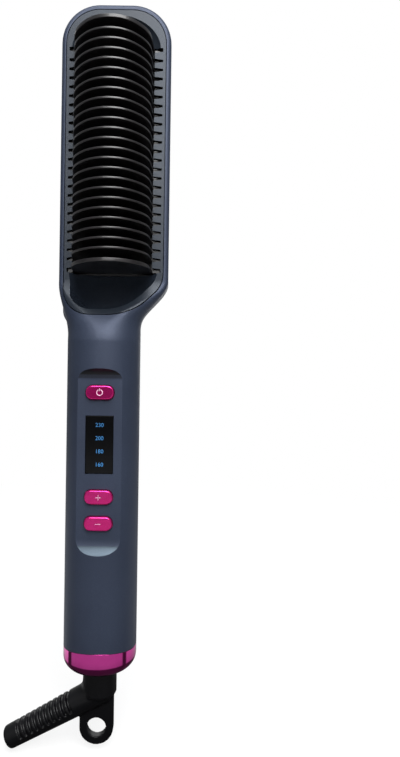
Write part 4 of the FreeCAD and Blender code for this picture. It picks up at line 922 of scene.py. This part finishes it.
@dataclass
class InnerWorks:
    """The pieces inside the housing, which keep their solids."""

    def build(self) -> None:
        """Gives every frame node the finish of its slot, for those that keep showing."""
        slots = {row["node"]: row["material_slot"] for row in frame["record"]["subparts"]}
        for name, node in frame["nodes"].items():
            finish = SLOT_FINISHES[slots[name]]
            if not node.data.materials:
                node.data.materials.append(None)
            for i in range(len(node.data.materials)):
                node.data.materials[i] = finish.material()
            log.info("%s: %s", name, finish.name)


# ------------------------------------------------------------------------------------------
# Studio
# ------------------------------------------------------------------------------------------
@dataclass(frozen=True)
class Softbox:
    """One rectangular studio lamp. Places and sizes are in metres."""
    name: str
    place: tuple[float, float, float]
    size: tuple[float, float]
    watts: float
    target: tuple[float, float, float] = (0.0, 0.0, 0.06)

    def build(self) -> None:
        """Hangs the lamp and aims it at its target on the object."""
        data = bpy.data.lights.new(self.name, "AREA")
        data.shape = "RECTANGLE"
        data.size, data.size_y = self.size
        data.energy = self.watts
        lamp = bpy.data.objects.new(self.name, data)
        bpy.context.collection.objects.link(lamp)
        lamp.location = self.place
        aim = Vector(self.target) - lamp.location
        lamp.rotation_euler = aim.to_track_quat("-Z", "Y").to_euler()


@dataclass
class Studio:
    """A pale floor, soft lamps and a pale surround.

    The eye sees white all round. The object's mirrors see the floor and a room with dark
    flags at its sides, as tones by bearing in degrees from the front. The floor's own tones
    also darken close to the object, where it stands in its own shade. Reaches are in metres.
    """
    lamps: tuple[Softbox, ...] = (
        Softbox("front_key", (0.20, -0.62, 0.62), (0.60, 0.45), 7.0),
        Softbox("overhead", (0.02, -0.40, 0.86), (0.50, 0.35), 5.0),
        Softbox("neck_light", (0.00, -0.42, 0.27), (0.26, 0.20), 0.6),
        Softbox("back_fill", (0.00, 0.75, 0.35), (0.90, 0.90), 4.0),
    )
    floor_size: float = 6.0
    floor_tones: tuple[tuple[float, float], ...] = (
        (-104, 1.0), (-98, 0.01), (-87, 0.01), (-81, 0.45), (-20, 0.45), (20, 0.45),
        (72, 0.45), (77, 0.01), (87, 0.01), (92, 0.6))
    near_reach: tuple[float, float] = (0.072, 0.102)
    near_shares: tuple[float, float] = (0.02, 0.68)
    paper_tone: float = 0.9
    paper_roughness: float = 0.9
    fibre_scale: float = 900.0
    fibre_depth: float = 0.02
    shadow_reach: tuple[float, float] = (0.15, 0.6)
    white_share: float = 0.8
    room_tones: tuple[tuple[float, float], ...] = (
        (-100, 0.5), (-95, 0.05), (-82, 0.05), (-76, 0.8), (-34, 0.8), (-22, 0.05),
        (22, 0.05), (34, 1.0), (72, 1.0), (78, 0.05), (92, 0.05), (98, 0.5))
    rear_tone: float = 0.5
    ceiling_rise: tuple[float, float] = (0.25, 0.8)
    ceiling_light: tuple[float, float, float, float] = (0.9, 0.95, 1.0, 1)
    ambient: float = 0.45

    def build(self) -> None:
        """Builds floor, lamps and surround."""
        floor = start("plane", "studio_floor", size=self.floor_size,
                      location=(0, 0, FLOOR_LEVEL_MM * MM))
        settle(floor)
        floor.data.materials.append(self._floor_material())
        for lamp in self.lamps:
            lamp.build()
        self._surround()

    def _floor_material(self) -> bpy.types.Material:
        """Matt sweep paper: white to the eye with the shadow kept, grey in reflections."""
        material = bpy.data.materials.new("matt white sweep paper")
        material.use_nodes = True
        tree = material.node_tree
        tree.nodes.clear()
        place = add_node(tree, "ShaderNodeTexCoord").outputs["Object"]
        fibre = add_node(tree, "ShaderNodeTexNoise", {"Scale": self.fibre_scale},
                         {"Vector": place})
        rays = add_node(tree, "ShaderNodeLightPath").outputs["Is Camera Ray"]
        flat = add_node(tree, "ShaderNodeVectorMath", {"operation": "MULTIPLY", 1: (1, 1, 0)},
                        {0: place})
        away = add_node(tree, "ShaderNodeVectorMath", {"operation": "LENGTH"},
                        {0: flat.outputs[0]})
        parts = add_node(tree, "ShaderNodeSeparateXYZ", {}, {0: place}).outputs
        walls = self._tones(tree, parts["X"], parts["Y"], self.floor_tones)
        nearby = add_node(tree, "ShaderNodeMapRange",
                          {"From Min": self.near_reach[0], "From Max": self.near_reach[1],
                           "To Min": self.near_shares[0], "To Max": self.near_shares[1]},
                          {"Value": away.outputs["Value"]})
        mirrored = add_node(tree, "ShaderNodeMath", {"operation": "MULTIPLY"},
                            {0: walls, 1: nearby.outputs[0]})
        seen = add_node(tree, "ShaderNodeMapRange", {"To Max": self.paper_tone},
                        {"Value": rays, "To Min": mirrored.outputs[0]})
        tone = add_node(tree, "ShaderNodeMath",
                        {"operation": "MULTIPLY_ADD", 1: self.fibre_depth},
                        {0: fibre.outputs["Fac"], 2: seen.outputs[0]})
        paper = add_node(tree, "ShaderNodeBsdfPrincipled", {"Roughness": self.paper_roughness},
                         {"Base Color": tone.outputs[0]})
        white = add_node(tree, "ShaderNodeEmission", {"Strength": 1.0})
        whiter = add_node(tree, "ShaderNodeMapRange",
                          {"From Min": self.shadow_reach[0], "From Max": self.shadow_reach[1],
                           "To Min": self.white_share},
                          {"Value": away.outputs["Value"]})
        share = add_node(tree, "ShaderNodeMath", {"operation": "MULTIPLY"},
                         {0: rays, 1: whiter.outputs[0]})
        mixed = add_node(tree, "ShaderNodeMixShader", {},
                         {0: share.outputs[0], 1: paper.outputs[0], 2: white.outputs[0]})
        add_node(tree, "ShaderNodeOutputMaterial", {}, {"Surface": mixed.outputs[0]})
        return material

    def _tones(self, tree: bpy.types.NodeTree, x: bpy.types.NodeSocket,
               y: bpy.types.NodeSocket,
               stops: tuple[tuple[float, float], ...]) -> bpy.types.NodeSocket:
        """Adds the nodes that give a tone by bearing from the front.

        Args:
            tree: the node tree that gets the nodes.
            x: the place or direction along X.
            y: the same along Y.
            stops: bearings from the front in degrees, each with its tone.

        Returns:
            The tone's colour socket.
        """
        front = add_node(tree, "ShaderNodeMath", {"operation": "MULTIPLY", 1: -1.0}, {0: y})
        bearing = add_node(tree, "ShaderNodeMath", {"operation": "ARCTAN2"},
                           {0: x, 1: front.outputs[0]})
        turn = add_node(tree, "ShaderNodeMapRange", {"From Min": -math.pi, "From Max": math.pi},
                        {"Value": bearing.outputs[0]})
        ramp = add_node(tree, "ShaderNodeValToRGB", {}, {"Fac": turn.outputs[0]})
        elements = ramp.color_ramp.elements
        for end in elements:
            end.color = (self.rear_tone,) * 3 + (1,)
        for degrees, tone in stops:
            elements.new(degrees / 360 + 0.5).color = (tone,) * 3 + (1,)
        return ramp.outputs[0]

    def _surround(self) -> None:
        """A white surround to the eye, and a room with dark side walls to the object."""
        world = bpy.data.worlds.new("studio_surround")
        bpy.context.scene.world = world
        world.use_nodes = True
        tree = world.node_tree
        tree.nodes.clear()
        place = add_node(tree, "ShaderNodeTexCoord").outputs["Generated"]
        parts = add_node(tree, "ShaderNodeSeparateXYZ", {}, {0: place}).outputs
        walls = self._tones(tree, parts["X"], parts["Y"], self.room_tones)
        above = add_node(tree, "ShaderNodeMapRange",
                         {"From Min": self.ceiling_rise[0], "From Max": self.ceiling_rise[1]},
                         {"Value": parts["Z"]})
        # Sockets 6, 7 and output 2 are the mix's two colours and its result
        room = add_node(tree, "ShaderNodeMix", {"data_type": "RGBA", 7: self.ceiling_light},
                        {0: above.outputs[0], 6: walls})
        lit = add_node(tree, "ShaderNodeBackground", {"Strength": self.ambient},
                       {"Color": room.outputs[2]})
        white = add_node(tree, "ShaderNodeBackground", {"Color": (1, 1, 1, 1)})
        rays = add_node(tree, "ShaderNodeLightPath").outputs["Is Camera Ray"]
        mixed = add_node(tree, "ShaderNodeMixShader", {},
                         {0: rays, 1: lit.outputs[0], 2: white.outputs[0]})
        add_node(tree, "ShaderNodeOutputWorld", {}, {"Surface": mixed.outputs[0]})


@dataclass
class ViewCamera:
    """The camera that looks squarely at the comb side from close by."""
    place_mm: tuple[float, float, float] = (28.8, -234.4, 46.2)
    roll_degrees: float = 0.81
    lens_mm: float = 25.04
    sensor_mm: float = 36.0
    shift: float = 0.0413
    clip_m: tuple[float, float] = (0.01, 20.0)

    def build(self) -> None:
        """Places the camera and makes it the scene's own."""
        data = bpy.data.cameras.new("view_camera")
        data.lens = self.lens_mm
        data.sensor_width = self.sensor_mm
        data.shift_x = self.shift
        data.clip_start, data.clip_end = self.clip_m
        camera = bpy.data.objects.new("view_camera", data)
        bpy.context.collection.objects.link(camera)
        upright = Matrix.Rotation(math.radians(90), 4, "X")
        rolled = Matrix.Rotation(math.radians(self.roll_degrees), 4, "Z")
        camera.matrix_world = Matrix.Translation(Vector(self.place_mm) * MM) @ upright @ rolled
        bpy.context.scene.camera = camera


def main() -> None:
    """Builds everything in order."""
    logging.basicConfig(level=logging.INFO, format="%(name)s: %(message)s")
    bpy.context.scene.view_settings.view_transform = "Standard"
    for part in (InnerWorks(), Housing(), CombBezel(), HeatingComb(), DiamondPlate(),
                 TrimFrame(), ControlPanel(), EndRing(), CordTail(), Studio(), ViewCamera()):
        log.info("-- %s", type(part).__name__)
        part.build()


if __name__ == "__main__":
    main()
